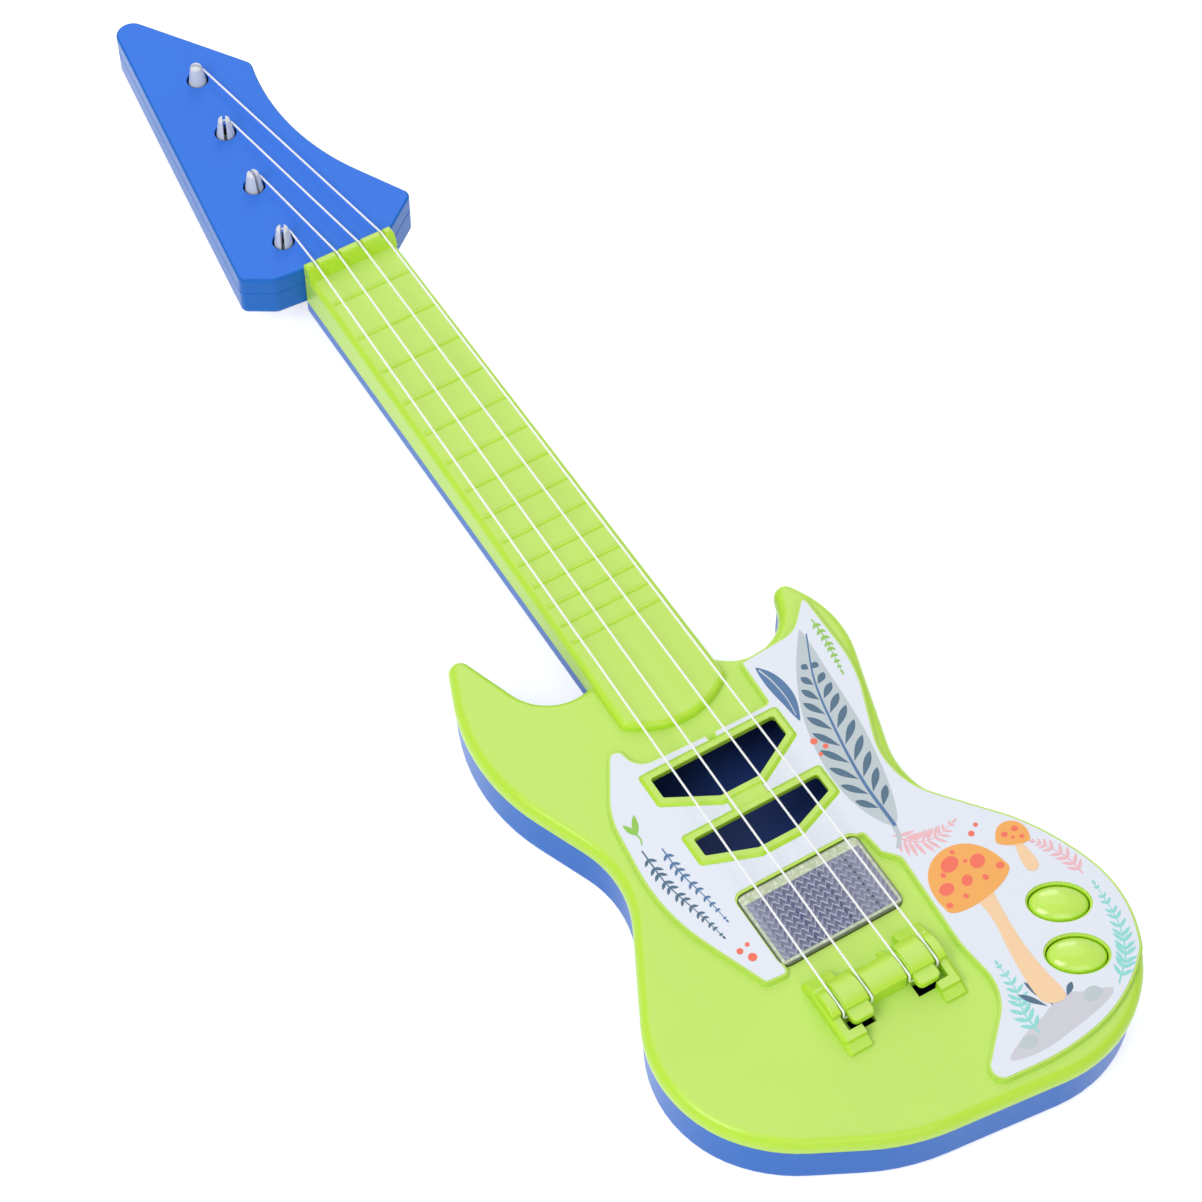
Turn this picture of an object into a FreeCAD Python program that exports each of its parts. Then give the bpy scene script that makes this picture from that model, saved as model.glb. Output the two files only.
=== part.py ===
"""Toy four-string guitar: a two-part moulded case with pegs, play buttons, strings and electronics.

The origin lies on the resting face of the back, on the string axis. +Y runs up the neck to the
headstock, +X to the high strings and +Z out of the front. All sizes are in millimetres.
"""

import FreeCAD, Part
import math
import os

V = FreeCAD.Vector

# ---- case -----------------------------------------------------------------------------------
CASE_DEPTH = 21.0            # back to body face
WALL = 2.0
SEAM_Z = 16.5                # where the green front meets the blue back
BACK_INSET = 1.0             # blue tray stands this far inside the green front
RIM_RADIUS = 2.9
BACK_RADIUS = 2.5
LIP_RISE = 1.6               # locating lip of the back inside the front
LIP_WALL = 1.2
LIP_CLEARANCE = 0.15
MIN_CORNER = 0.3             # smallest corner left by an inward offset
JOIN = 0.5                   # how far pieces of one moulding run into each other

BODY_LOWER_RIGHT = (68.5, -46.5, 34.5)     # corner that the play buttons lie beside

# Corners of the body outline: x, y, blend radius, anticlockwise from the low side of the neck.
BODY = [
    (-15.0, 76.5, 4.0), (-29.5, 72.3, 14.4), (-42.0, 107.2, 3.2), (-56.5, 70.5, 56.0),
    (-36.5, 22.5, 30.0), (-67.0, -35.5, 35.5), (-46.0, -60.5, 43.5), (-16.5, -76.0, 60.0),
    (53.0, -84.0, 37.0), BODY_LOWER_RIGHT, (61.5, -20.5, 68.5), (37.5, 8.5, 26.0),
    (54.5, 62.5, 30.5), (43.7, 82.2, 3.2), (38.0, 66.5, 12.5), (24.5, 61.0, 12.5), (16.0, 68.0, 4.0),
]

# ---- neck and fingerboard -------------------------------------------------------------------
NUT_Y = 235.3                # back of the nut, end of the green moulding
NECK_HALF_NUT = 13.9
NECK_HALF_HEEL = 16.0
HEEL_Y = 59.5                # where the fingerboard's sides end over the body
HEEL_DEPTH = 10.5            # how far the heel's corner point lies beyond HEEL_Y
HEEL_RADIUS = 23.0
NECK_JOINT_Y = 76.6          # neck leaves the body
NECK_ROOT_Y = 66.0           # neck starts inside the body
BOARD_RISE = 2.6             # fingerboard above body face
BOARD_EDGE = 2.0
NECK_SEAM_DROP = 4.8         # the seam falls by this much from body to nut
NECK_BACK_DEPTH = 7.4
NECK_BACK_RADIUS = 4.0
SPINE_HALF = 8.0             # web that ties neck back and headstock together
SPINE_LENGTH = 11.0
SPINE_TOP = 18.5

FRET_COUNT = 14
FIRST_FRET_GAP = 14.0        # back of the nut to the first fret
FRET_GAP = 14.3
FRET_GAP_STEP = 0.68         # each gap is this much shorter than the last
FRET_WIDTH = 1.3
FRET_RISE = 0.45
FRET_MARGIN = 2.0            # fret end to fingerboard side

NUT_DEPTH = 2.0              # along the strings, at its top
NUT_SLOPE = 2.1              # how far its front foot runs out
NUT_RISE = 4.6
NUT_EDGE = 0.5
NUT_CORNER = 1.2             # rounding of the nut's two ends
NUT_NOTCH = 0.9
NOTCH_HALF_TOP = 1.1         # half width of a notch above the nut and at its bottom
NOTCH_HALF_BOTTOM = 0.65

# ---- headstock ------------------------------------------------------------------------------
HEAD_Z = 25.5                # front face of the headstock
HEAD_DEPTH = 15.0
COVER_DEPTH = 6.0
HEAD_EDGE = 0.8
HEAD_SEAM_BREAK = 0.3        # chamfer on both lips of the parting line
HEAD_GAP = 0.3               # between headstock and the end of the fingerboard

# Corners of the headstock outline, y counted from the end of the neck.
HEAD = [
    (14.0, 0.0, 0.0), (26.3, 9.2, 2.5), (4.2, 49.6, 72.0), (10.9, 78.1, 3.5),
    (-17.2, 119.8, 4.8), (-31.3, 6.0, 2.2), (-22.8, 0.7, 3.0), (-14.0, 0.0, 0.0),
]

# ---- pegs -----------------------------------------------------------------------------------
PEG_FIRST = (-13.8, 247.7)
PEG_STEP = (2.6, 22.6)
PEG_SLOT_ANGLES = (59.0, 97.0, 64.0, -31.0)
PEG_RADIUS = 2.7
PEG_TIP_RADIUS = 1.75
PEG_RISE = 6.2               # above the headstock face
PEG_SLOT = 1.0
PEG_SLOT_DEPTH = 4.0         # below the headstock face
PEG_CLEARANCE = 0.05         # running fit in the sleeve
PEG_HOLE_RADIUS = 3.25       # oversize hole in the cover
PEG_COLLAR = 0.5
PEG_COLLAR_LENGTH = 0.8
PEG_COLLAR_GAP = 0.2
PEG_CROWN = 0.55             # height of the rounded tip over the tip's radius
PEG_BULGE = (0.72, 0.3)      # point on the tip's rounding, as shares of its radius and height
SLEEVE_WALL = 1.8
SLEEVE_TOP = 18.0
KNOB_RADIUS = 6.5
KNOB_LENGTH = 4.9
KNOB_GAP = 0.25
KNOB_FLUTES = 8
KNOB_FLUTE_RADIUS = 1.3
KNOB_FLUTE_REACH = 0.585     # a flute's axis beyond the knob's side
KNOB_EDGE = 0.6

# ---- strings and bridge ---------------------------------------------------------------------
STRING_RADIUS = 0.3
STRING_GAP = 0.06            # daylight between a string and what it lies on
STRING_WRAP = 90.0           # turn of a string behind its post
NUT_PITCH = 7.15
SADDLE_Y = -35.8
SADDLE_RISE = 6.0
BAR_FRONT_Y = -31.5
BAR_BACK_Y = -40.5
BAR_FALL = 1.0
BAR_SHOULDER = 3.2           # front of the bar, where its rounding starts
BAR_END_EDGE = 0.5
BLOCK_RISE = 0.6             # pads above the bar between the strings of a pair
BLOCK_LEAD = 0.7
HOOK_X = 9.7
HOOK_WIDTH = 6.4
HOOK_LENGTH = 3.7
HOOK_THICK = 2.0
HOOK_CORNER = 1.5
HOOK_EDGE = 0.3
HOOK_DROP = 0.3              # hook below the back edge of the bar
HOOK_ROOM = 0.4              # free space behind a hook, down to its opening
STRING_SIDE = 0.95           # from a hook's side to the string's centre
GROOVE_WIDTH = 1.1
GROOVE_DEPTH = 0.9
BRIDGE_HALF = 17.4
RAIL_WIDTH = 2.7
RAMP_INNER_X = 9.4
RAMP_FRONT_Y = -27.5
RAMP_LOW = 1.8
RAMP_HIGH = 4.2
RAIL_BACK = 3.6              # rail behind the bar
STEP_INNER_X = 11.0
STEP_LENGTH = 2.5
STEP_HIGH = 3.1
STEP_LOW = 1.9
STEP_END = 1.1
STEP_DRAFT = 0.2
BRIDGE_END_Y = -49.8
RAIL_CHAMFER = 0.9
GUSSET_X = 4.6
GUSSET_WIDTH = 1.6
GUSSET_RUN = 3.2
GUSSET_RISE = 3.0

# ---- raised panel, sound holes, window ------------------------------------------------------
PANEL_RISE = 1.3
PANEL_DRAFT = 0.3
PANEL_RIM_INSET = 0.7        # panel kept this far inside the body outline
PANEL_BORDER = 0.6           # green left around the printed sticker
STICKER_THICK = 0.2
PANEL = [
    (20.5, 46.5, 1.0), (3.3, 46.7, 0.6), (3.3, 43.0, 0.6), (1.6, 43.0, 0.6), (1.6, 46.7, 0.6),
    (-19.0, 47.5, 5.0), (-20.4, 59.3, 2.4), (-33.0, 38.5, 25.0), (-36.5, 7.5, 56.0),
    (-24.5, -22.6, 1.5), (-17.8, -23.2, 1.5), (-17.8, 1.0, 1.0), (19.8, 1.0, 1.0), (20.5, -6.0, 1.0),
    (24.0, -10.0, 2.5), (22.5, -38.5, 40.0), (24.6, -54.4, 15.0), (9.5, -69.4, 2.0), (7.6, -74.6, 3.5),
    (27.0, -76.3, 60.0), (52.0, -73.0, 42.0), (85.0, -33.3, 1.0), (85.0, -20.2, 1.0), (60.0, -20.2, 1.0),
    (33.95, 11.7, 22.8), (47.0, 44.4, 45.6), (47.0, 71.3, 1.2), (38.2, 62.0, 9.0), (21.0, 60.9, 1.0),
]
HOLE_X = 0.6
HOLE_HALF = 18.7
HOLE_FLAT_HALF = 5.8
HOLE_CORNER = 0.8
SOUND_HOLES = ((42.3, 35.8, 28.8), (21.5, 15.8, 10.9))   # y of the top, the side corner, the bottom
RIM_WIDTH = 2.3
RIM_RISE = 2.1
RIM_BEVEL = 0.8
RIM_CORNER = 1.2             # outer corners of the rim in plan
RIM_LIP = 1.0                # thickness of the moulding at the hole's edge
RIM_CORE = 1.1               # how far the hollow below the rim goes under it
PAD_HALF = 5.2

WINDOW_HALF_X = 18.4
WINDOW_TOP_Y = 2.2
WINDOW_BOTTOM_Y = -21.0
WINDOW_CORNER = 2.6
WINDOW_PROUD = 1.1
WINDOW_CLEARANCE = 0.15
WINDOW_FLANGE = 2.0
WINDOW_FLANGE_THICK = 1.2
WINDOW_EDGE = 0.5
WINDOW_FILM_GAP = 0.3        # sticker to the window's side
WINDOW_FILM_TOP = 0.8        # sticker to the window's upper edge

# ---- play buttons ---------------------------------------------------------------------------
BUTTON_INSET = (17.8, 5.4)   # from the body's corner at the lower right, inward and up
BUTTON_ANGLE = -31.0
BUTTON_SHIFT = 3.4           # lower button along the upper one's long axis
BUTTON_WEB = 3.0             # between the two openings, across the long axis
BUTTON_LONG = 8.4            # half length of the opening
BUTTON_SHORT = 5.85
BUTTON_CLEARANCE = 0.3
BUTTON_TRAVEL = 1.0
BUTTON_EDGE_DROP = 1.3       # edge of the dome below the panel
BUTTON_DOME = 2.7
BUTTON_FLANGE = 0.6
BUTTON_FLANGE_THICK = 1.2
BUTTON_FLANGE_GAP = 0.2
BUTTON_STEM_RADIUS = 2.3
COLLAR_WALL = 1.2
COLLAR_DROP = 3.4
BUTTON_STEM_DROP = 1.4       # stem below the button's flange
BUTTON_FILM_GAP = 0.1
LIP_BEVEL = 0.5
SWITCH_SIDE = 6.0
SWITCH_HEIGHT = 3.5
PLUNGER_RADIUS = 1.7
PLUNGER_RISE = 1.5
PLUNGER_DEPTH = 1.0
PLUNGER_CLEARANCE = 0.06
PLUNGER_FLOOR_GAP = 0.2      # below a plunger that is pressed fully
SWITCH_EDGE = 0.3

# ---- boards and electronics -----------------------------------------------------------------
BOARD_THICK = 1.6
MAIN_BOARD = (-27.0, 27.0, -20.6, 3.0)     # x and y limits
MAIN_BOARD_TOP = 11.6
MAIN_SCREW_X = 24.0
MAIN_SCREW_Y = -9.0
LED_RADIUS = 2.5
LED_PITCH = 11.0
LED_LENGTH = 5.0
LED_Y = -9.5
LED_FLANGE = 0.4
LED_RING = 0.8
CHIP_RADIUS = 4.0
CHIP_RISE = 1.4
CHIP_AT = (-16.5, -3.2)
BUTTON_BOARD_LENGTH = 40.4
BUTTON_BOARD_WIDTH = 12.0
BUTTON_SCREW_HALF = 17.5
BOARD_POST_RADIUS = 2.6

# ---- speaker --------------------------------------------------------------------------------
SPEAKER_AT = (-29.0, 53.0)
SPEAKER_RADIUS = 14.5
SPEAKER_FRONT = 1.6
SPEAKER_BASKET = 3.4
MAGNET_RADIUS = 7.0
MAGNET_LENGTH = 3.2
SPEAKER_RING_WALL = 1.4
SPEAKER_RING_RISE = 4.0
SPEAKER_CLEARANCE = 0.2
SPEAKER_SEAT_GAP = 0.1       # speaker's rim above the back's floor
BASKET_SHEET = 0.6
BASKET_LIP = 2.0
BASKET_SEAT = 1.0            # basket's flat seat beyond the magnet
BASKET_HOLE = 2.0
CONE_GAP = 0.6               # cone above the back's floor
CONE_SIDE_GAP = 0.2
CONE_SURROUND = 1.0
CONE_DEPTH = 1.7
CONE_PAPER = 0.4
CAP_HEIGHT = 1.2
CAP_RADIUS = 3.5
GRILLE_RADIUS = 10.5
GRILLE_HOLE = 1.1
GRILLE_PITCH = 3.6

# ---- battery box ----------------------------------------------------------------------------
CELL_RADIUS = 5.25
CELL_LENGTH = 44.5
CELL_NUB_RADIUS = 1.9
CELL_NUB = 0.9
CELL_EDGE = 0.6
CELL_PITCH = 11.0
CELL_COUNT = 3
CELL_SPACE = 0.3             # around the row of cells
BOX_CENTRE = (-11.5, -41.8)
BOX_WALL = 1.4
DOOR_THICK = 1.6
DOOR_CLEARANCE = 0.25
DOOR_MARGIN = 2.4
DOOR_TAB = 10.0              # width of the lug that takes the screw
DOOR_TAB_RUN = 8.0
DOOR_SCREW_SHIFT = 1.2       # screw beyond the middle of the lug
DOOR_HOOK_WIDTH = 6.0
DOOR_HOOK_RUN = 1.6
DOOR_HOOK_THICK = 0.6
SPRING_LENGTH = 5.0
SPRING_RADIUS = 3.0
SPRING_TIP_RADIUS = 1.6
SPRING_WIRE = 0.4
SPRING_TURNS = 3
SPRING_PLAY = 0.1
CONTACT_THICK = 0.4
CONTACT_SIDE = 8.0

# ---- screws ---------------------------------------------------------------------------------
SCREW_RADIUS = 1.3
SCREW_HEAD_RADIUS = 2.6
SCREW_HEAD = 1.8
SCREW_FIT = 0.04
SCREW_CLEARANCE = 0.3
CASE_SCREW_LENGTH = 8.0
HEAD_SCREW_LENGTH = 8.8
BOARD_SCREW_LENGTH = 4.5
DOOR_SCREW_LENGTH = 5.5
BOSS_RADIUS = 3.6
BOSS_BORE = 3.0              # wider bore that the screw head sinks into
BOSS_SEAT = 5.0              # height of the seat under the head
BOSS_GAP = 0.2               # between front and back boss
CASE_SCREWS = [
    (-43.5, 80.0), (42.8, 57.0), (-50.5, -33.0), (-12.0, -68.0), (30.0, -68.0), (52.0, -21.0),
]
HEAD_SCREWS = [(-22.5, 262.0), (17.0, 250.0), (-8.5, 332.5)]
SLOT_WIDTH = 0.7
SLOT_SHARE = 0.65            # length of the cross slot over the head's

# ---- wires ----------------------------------------------------------------------------------
WIRE_RADIUS = 0.6
WIRE_BEND = 3.0
WIRE_PITCH = 1.7             # between neighbouring leads
WIRE_SIDE_STEP = 1.36        # the same, along x and y, for leads that run at 45 degrees
WIRE_LOW = 3.2               # height of a lead that lies on the back's floor
WIRE_GAP = 0.1

# ---- sizes that follow from those above -----------------------------------------------------
FACE_Z = CASE_DEPTH
CEILING_Z = FACE_Z - WALL
BOARD_Z = FACE_Z + BOARD_RISE
NUT_Z = BOARD_Z + NUT_RISE
PANEL_Z = FACE_Z + PANEL_RISE
HEAD_SEAM_Z = HEAD_Z - COVER_DEPTH
HEAD_BACK_Z = HEAD_Z - HEAD_DEPTH
SADDLE_Z = FACE_Z + SADDLE_RISE
HOOK_TOP_Z = SADDLE_Z - BAR_FALL - HOOK_DROP
HOOK_END_Y = BAR_BACK_Y - HOOK_LENGTH - HOOK_ROOM
FAR = 400.0


# ---- geometry helpers -----------------------------------------------------------------------
def unit(vector):
    """Return the vector at length one."""
    return V(vector).normalize()


def turn_of(before, at, after):
    """Z of the cross product at a corner: positive where the outline turns left."""
    return (at - before).cross(after - at).z


def offset_corners(corners, inset):
    """Move every side of an anticlockwise outline inward by inset, keeping blends concentric."""
    points = [V(x, y, 0) for x, y, _ in corners]
    count = len(points)
    moved = []
    for i, (_, _, radius) in enumerate(corners):
        before, at, after = points[i - 1], points[i], points[(i + 1) % count]
        first, second = unit(at - before), unit(after - at)
        normal_1, normal_2 = V(-first.y, first.x, 0), V(-second.y, second.x, 0)
        shift = (normal_1 + normal_2) * (inset / (1.0 + normal_1.dot(normal_2)))
        grown = radius - inset if turn_of(before, at, after) > 0 else radius + inset
        keep = radius > 0 or grown > 0
        moved.append((at.x + shift.x, at.y + shift.y, max(grown, MIN_CORNER) if keep else 0.0))
    return moved


def blend(before, at, after, radius):
    """Start, middle and end of the arc that rounds one corner."""
    back, ahead = unit(before - at), unit(after - at)
    half = back.getAngle(ahead) / 2.0
    reach = radius / math.tan(half)
    bisector = unit(back + ahead)
    middle = at + bisector * (radius / math.sin(half) - radius)
    return at + back * reach, middle, at + ahead * reach


def rounded_path(points, radii, closed):
    """Wire of straight runs and tangent arcs through 3-D points."""
    count = len(points)
    edges = []
    cursor = None
    first = None
    for i in range(count):
        inner = closed or 0 < i < count - 1
        if inner and radii[i] > 0:
            start, middle, end = blend(points[i - 1], points[i], points[(i + 1) % count], radii[i])
        else:
            start = end = points[i]
            middle = None
        if cursor is not None and cursor.distanceToPoint(start) > 1e-6:
            edges.append(Part.makeLine(cursor, start))
        if middle is not None:
            edges.append(Part.Arc(start, middle, end).toShape())
        first = first or start
        cursor = end
    if closed and cursor.distanceToPoint(first) > 1e-6:
        edges.append(Part.makeLine(cursor, first))
    return Part.Wire(edges)


def outline(corners, z, inset=0.0):
    """Closed wire of an outline at height z."""
    used = offset_corners(corners, inset) if inset else corners
    return rounded_path([V(x, y, z) for x, y, _ in used], [r for _, _, r in used], True)


def face(corners, z, inset=0.0):
    """Flat face inside an outline."""
    return Part.Face(outline(corners, z, inset))


def slab(corners, low, high, inset=0.0):
    """Upright solid over an outline."""
    return face(corners, low, inset).extrude(V(0, 0, high - low))


def box(x0, x1, y0, y1, z0, z1):
    """Box between limits."""
    return Part.makeBox(x1 - x0, y1 - y0, z1 - z0, V(x0, y0, z0))


def rod(x, y, low, high, radius):
    """Upright cylinder."""
    return Part.makeCylinder(radius, high - low, V(x, y, low))


def tube(x, y, low, high, outer, inner):
    """Upright tube."""
    return rod(x, y, low, high, outer).cut(rod(x, y, low - 1, high + 1, inner))


def side_profile(points, x0, x1):
    """Solid whose outline lies in the Y-Z plane, running from x0 to x1."""
    wire = Part.makePolygon([V(x0, y, z) for y, z in points + points[:1]])
    return Part.Face(wire).extrude(V(x1 - x0, 0, 0))


def fuse(shapes):
    """Join shapes into one and drop the seams between them."""
    joined = shapes[0].fuse(shapes[1:]) if len(shapes) > 1 else shapes[0]
    return joined.removeSplitter()


def round_edges(shape, radius, chosen):
    """Fillet every edge for which chosen(edge) holds."""
    return shape.makeFillet(radius, [edge for edge in shape.Edges if chosen(edge)])


def lies_at(edge, z):
    """True if an edge lies wholly at height z."""
    return abs(edge.BoundBox.ZMin - z) < 1e-4 and abs(edge.BoundBox.ZMax - z) < 1e-4


def swept(path, radius):
    """Round bar along a smooth wire."""
    start = path.Edges[0]
    point = start.valueAt(start.FirstParameter)
    along = start.tangentAt(start.FirstParameter)
    ring = Part.Wire([Part.makeCircle(radius, point, along)])
    return path.makePipeShell([ring], True, False)


def oval(centre, long_half, short_half, low, high, angle):
    """Upright solid on an ellipse."""
    curve = Part.Ellipse(V(0, 0, 0), long_half, short_half)
    solid = Part.Face(Part.Wire([curve.toShape()])).extrude(V(0, 0, high - low))
    solid.rotate(V(0, 0, 0), V(0, 0, 1), angle)
    solid.translate(V(centre[0], centre[1], low))
    return solid


def turned(solid, centre, angle):
    """Copy of a solid turned about an upright line."""
    copy = solid.copy()
    copy.rotate(V(centre[0], centre[1], 0), V(0, 0, 1), angle)
    return copy


# ---- shared outlines ------------------------------------------------------------------------
def neck_half(y):
    """Half width of the neck at y."""
    share = (y - HEEL_Y) / (NUT_Y - HEEL_Y)
    return NECK_HALF_HEEL + share * (NECK_HALF_NUT - NECK_HALF_HEEL)


def neck_corners(low_y, high_y):
    """Tapered strip of neck between two stations."""
    low, high = neck_half(low_y), neck_half(high_y)
    return [(-low, low_y, 0.0), (low, low_y, 0.0), (high, high_y, 0.0), (-high, high_y, 0.0)]


def fingerboard_corners():
    """Plan of the fingerboard with its bowed heel."""
    half = NECK_HALF_HEEL
    return [
        (-half, HEEL_Y, BOARD_EDGE + MIN_CORNER), (0.0, HEEL_Y - HEEL_DEPTH, HEEL_RADIUS),
        (half, HEEL_Y, BOARD_EDGE + MIN_CORNER),
        (NECK_HALF_NUT, NUT_Y, 0.0), (-NECK_HALF_NUT, NUT_Y, 0.0),
    ]


def head_corners():
    """Headstock outline in the part's frame."""
    return [(x, y + NUT_Y + HEAD_GAP, radius) for x, y, radius in HEAD]


def seam_height(y):
    """Height of the neck's seam at y."""
    if y <= NECK_JOINT_Y:
        return SEAM_Z
    return SEAM_Z - NECK_SEAM_DROP * (y - NECK_JOINT_Y) / (NUT_Y - NECK_JOINT_Y)


def sound_hole_corners(top, side, bottom):
    """Six-sided sound hole."""
    left, right = HOLE_X - HOLE_HALF, HOLE_X + HOLE_HALF
    flat_left, flat_right = HOLE_X - HOLE_FLAT_HALF, HOLE_X + HOLE_FLAT_HALF
    points = [(right, top), (left, top), (left, side), (flat_left, bottom), (flat_right, bottom),
              (right, side)]
    return [(x, y, HOLE_CORNER) for x, y in points]


def rim_corners(hole, grow):
    """Outline of a sound hole grown on every side, with its corners kept crisp."""
    return [(x, y, RIM_CORNER) for x, y, _ in offset_corners(sound_hole_corners(*hole), -grow)]


def window_corners():
    """Light window opening."""
    x, low, high = WINDOW_HALF_X, WINDOW_BOTTOM_Y, WINDOW_TOP_Y
    return [(a, b, WINDOW_CORNER) for a, b in ((x, high), (-x, high), (-x, low), (x, low))]


def button_centres():
    """Centre of each button: the upper one from the body's corner, the lower one a web away from it."""
    corner_x, corner_y, _ = BODY_LOWER_RIGHT
    upper = V(corner_x - BUTTON_INSET[0], corner_y + BUTTON_INSET[1], 0)
    angle = math.radians(BUTTON_ANGLE)
    along = V(math.cos(angle), math.sin(angle), 0)
    across = V(math.sin(angle), -math.cos(angle), 0)
    lower = upper + along * BUTTON_SHIFT + across * (2 * BUTTON_SHORT + BUTTON_WEB)
    return {"upper": (upper.x, upper.y), "lower": (lower.x, lower.y)}


def peg_centres():
    """Axis of each tuning peg, from the nut outward."""
    return [(PEG_FIRST[0] + i * PEG_STEP[0], PEG_FIRST[1] + i * PEG_STEP[1]) for i in range(4)]


def fret_stations():
    """Y of every fret, from the nut down."""
    y = NUT_Y - FIRST_FRET_GAP
    gap = FRET_GAP
    stations = []
    for _ in range(FRET_COUNT):
        stations.append(y)
        y -= gap
        gap -= FRET_GAP_STEP
    return stations


def string_x_at_saddle():
    """X of the four strings where they cross the saddle."""
    reach = HOOK_WIDTH / 2 + STRING_SIDE
    return [-HOOK_X - reach, -HOOK_X + reach, HOOK_X - reach, HOOK_X + reach]


def string_x_at_nut():
    """X of the four strings where they cross the nut."""
    return [(i - 1.5) * NUT_PITCH for i in range(4)]


# ---- front shell ----------------------------------------------------------------------------
def front_body():
    """Green body face with its rounded rim, open underneath."""
    skin = slab(BODY, SEAM_Z, FACE_Z)
    skin = round_edges(skin, RIM_RADIUS, lambda edge: lies_at(edge, FACE_Z))
    return skin.cut(slab(BODY, SEAM_Z - JOIN, CEILING_Z, WALL))


def neck_front():
    """Fingerboard and the green half of the neck, cut off along the sloping seam."""
    foot = SEAM_Z - NECK_SEAM_DROP - JOIN
    block = slab(fingerboard_corners(), foot, BOARD_Z)
    block = round_edges(block, BOARD_EDGE,
                        lambda edge: lies_at(edge, BOARD_Z) and edge.BoundBox.YMin < NUT_Y - JOIN)
    below = side_profile(
        [(0, -10), (FAR, -10), (FAR, seam_height(FAR)), (NECK_JOINT_Y, SEAM_Z), (NECK_ROOT_Y + WALL, SEAM_Z),
         (NECK_ROOT_Y + WALL, CEILING_Z + JOIN), (0, CEILING_Z + JOIN)], -FAR, FAR)
    hollow = slab(neck_corners(NECK_JOINT_Y + WALL, NUT_Y - WALL), 0, BOARD_Z - WALL, WALL)
    slot_half = SPINE_HALF + SCREW_CLEARANCE
    spine_slot = box(-slot_half, slot_half, NUT_Y - 2 * WALL, NUT_Y + 1, 0, SPINE_TOP + SCREW_CLEARANCE)
    return block.cut([below, hollow, spine_slot])


def fret(y):
    """One raised fret with a round top."""
    half = neck_half(y) - FRET_MARGIN
    foot = BOARD_Z - FRET_RISE
    arc = Part.Arc(V(-half, y - FRET_WIDTH / 2, BOARD_Z), V(-half, y, BOARD_Z + FRET_RISE),
                   V(-half, y + FRET_WIDTH / 2, BOARD_Z)).toShape()
    lower = Part.makePolygon([V(-half, y + FRET_WIDTH / 2, BOARD_Z), V(-half, y + FRET_WIDTH / 2, foot),
                              V(-half, y - FRET_WIDTH / 2, foot), V(-half, y - FRET_WIDTH / 2, BOARD_Z)])
    return Part.Face(Part.Wire([arc] + lower.Edges)).extrude(V(2 * half, 0, 0))


def nut_bar():
    """Nut with a sloping front and a notch for every string."""
    foot = BOARD_Z - JOIN
    front = NUT_Y - NUT_DEPTH
    bar = side_profile([(NUT_Y, foot), (NUT_Y, NUT_Z - NUT_EDGE), (NUT_Y - NUT_EDGE, NUT_Z), (front, NUT_Z),
                        (front - NUT_EDGE, NUT_Z - NUT_EDGE), (front - NUT_SLOPE, BOARD_Z),
                        (front - NUT_SLOPE, foot)], -FAR, FAR)
    bar = bar.common(slab(neck_corners(NECK_ROOT_Y, NUT_Y), foot - 1, NUT_Z + 1))
    bar = round_edges(bar, NUT_CORNER,
                      lambda edge: edge.BoundBox.YLength > NUT_DEPTH / 2 and lies_at(edge, NUT_Z))
    bottom, above = NUT_Z - NUT_NOTCH, NUT_Z + 1
    notches = []
    for x in string_x_at_nut():
        wide, narrow = NOTCH_HALF_TOP, NOTCH_HALF_BOTTOM
        valley = Part.makePolygon([V(x - wide, 0, above), V(x - narrow, 0, bottom), V(x + narrow, 0, bottom),
                                   V(x + wide, 0, above), V(x - wide, 0, above)])
        notches.append(Part.Face(valley).extrude(V(0, FAR, 0)))
    return bar.cut(notches)


def panel_area(z, inset, window_gap):
    """Face of the raised panel at height z, drawn in by inset and kept off the window."""
    area = face(BODY, z, PANEL_RIM_INSET + inset).common(face(PANEL, z, inset))
    return area.cut(face(window_corners(), z, -window_gap))


def raised_panel():
    """Panel that carries the sticker, with a small step to a narrower top."""
    foot = CEILING_Z + JOIN
    low = panel_area(foot, -PANEL_DRAFT, 0.0).extrude(V(0, 0, FACE_Z + PANEL_RISE / 2 - foot))
    top = panel_area(foot, 0.0, 0.0).extrude(V(0, 0, PANEL_Z - foot))
    return [low, top]


def hole_rim(hole):
    """Bevelled rim that stands round a sound hole."""
    block = slab(rim_corners(hole, RIM_WIDTH), FACE_Z - JOIN, FACE_Z + RIM_RISE)
    return block.makeChamfer(RIM_BEVEL, [edge for edge in block.Edges if lies_at(edge, FACE_Z + RIM_RISE)])


def rim_pad():
    """Small bridge between the two rims."""
    upper_bottom = SOUND_HOLES[0][2] - RIM_WIDTH
    lower_top = SOUND_HOLES[1][0] + RIM_WIDTH
    return box(HOLE_X - PAD_HALF, HOLE_X + PAD_HALF, lower_top - JOIN, upper_bottom + JOIN, FACE_Z - JOIN,
               FACE_Z + RIM_RISE - RIM_BEVEL / 2)


def arched(lead, crown_z, x0, x1):
    """Solid with the bar's arched section, its front brought forward by lead."""
    front, back = BAR_FRONT_Y + lead, BAR_BACK_Y
    rise = crown_z - SADDLE_Z
    low_front, low_back = V(x0, front, FACE_Z - JOIN), V(x0, back, FACE_Z - JOIN)
    high_front = V(x0, front, FACE_Z + BAR_SHOULDER + rise)
    high_back = V(x0, back, SADDLE_Z - BAR_FALL + rise)
    crown = Part.Arc(high_front, V(x0, SADDLE_Y, crown_z), high_back).toShape()
    edges = [Part.makeLine(low_front, high_front), crown, Part.makeLine(high_back, low_back),
             Part.makeLine(low_back, low_front)]
    return Part.Face(Part.Wire(edges)).extrude(V(x1 - x0, 0, 0))


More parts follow.
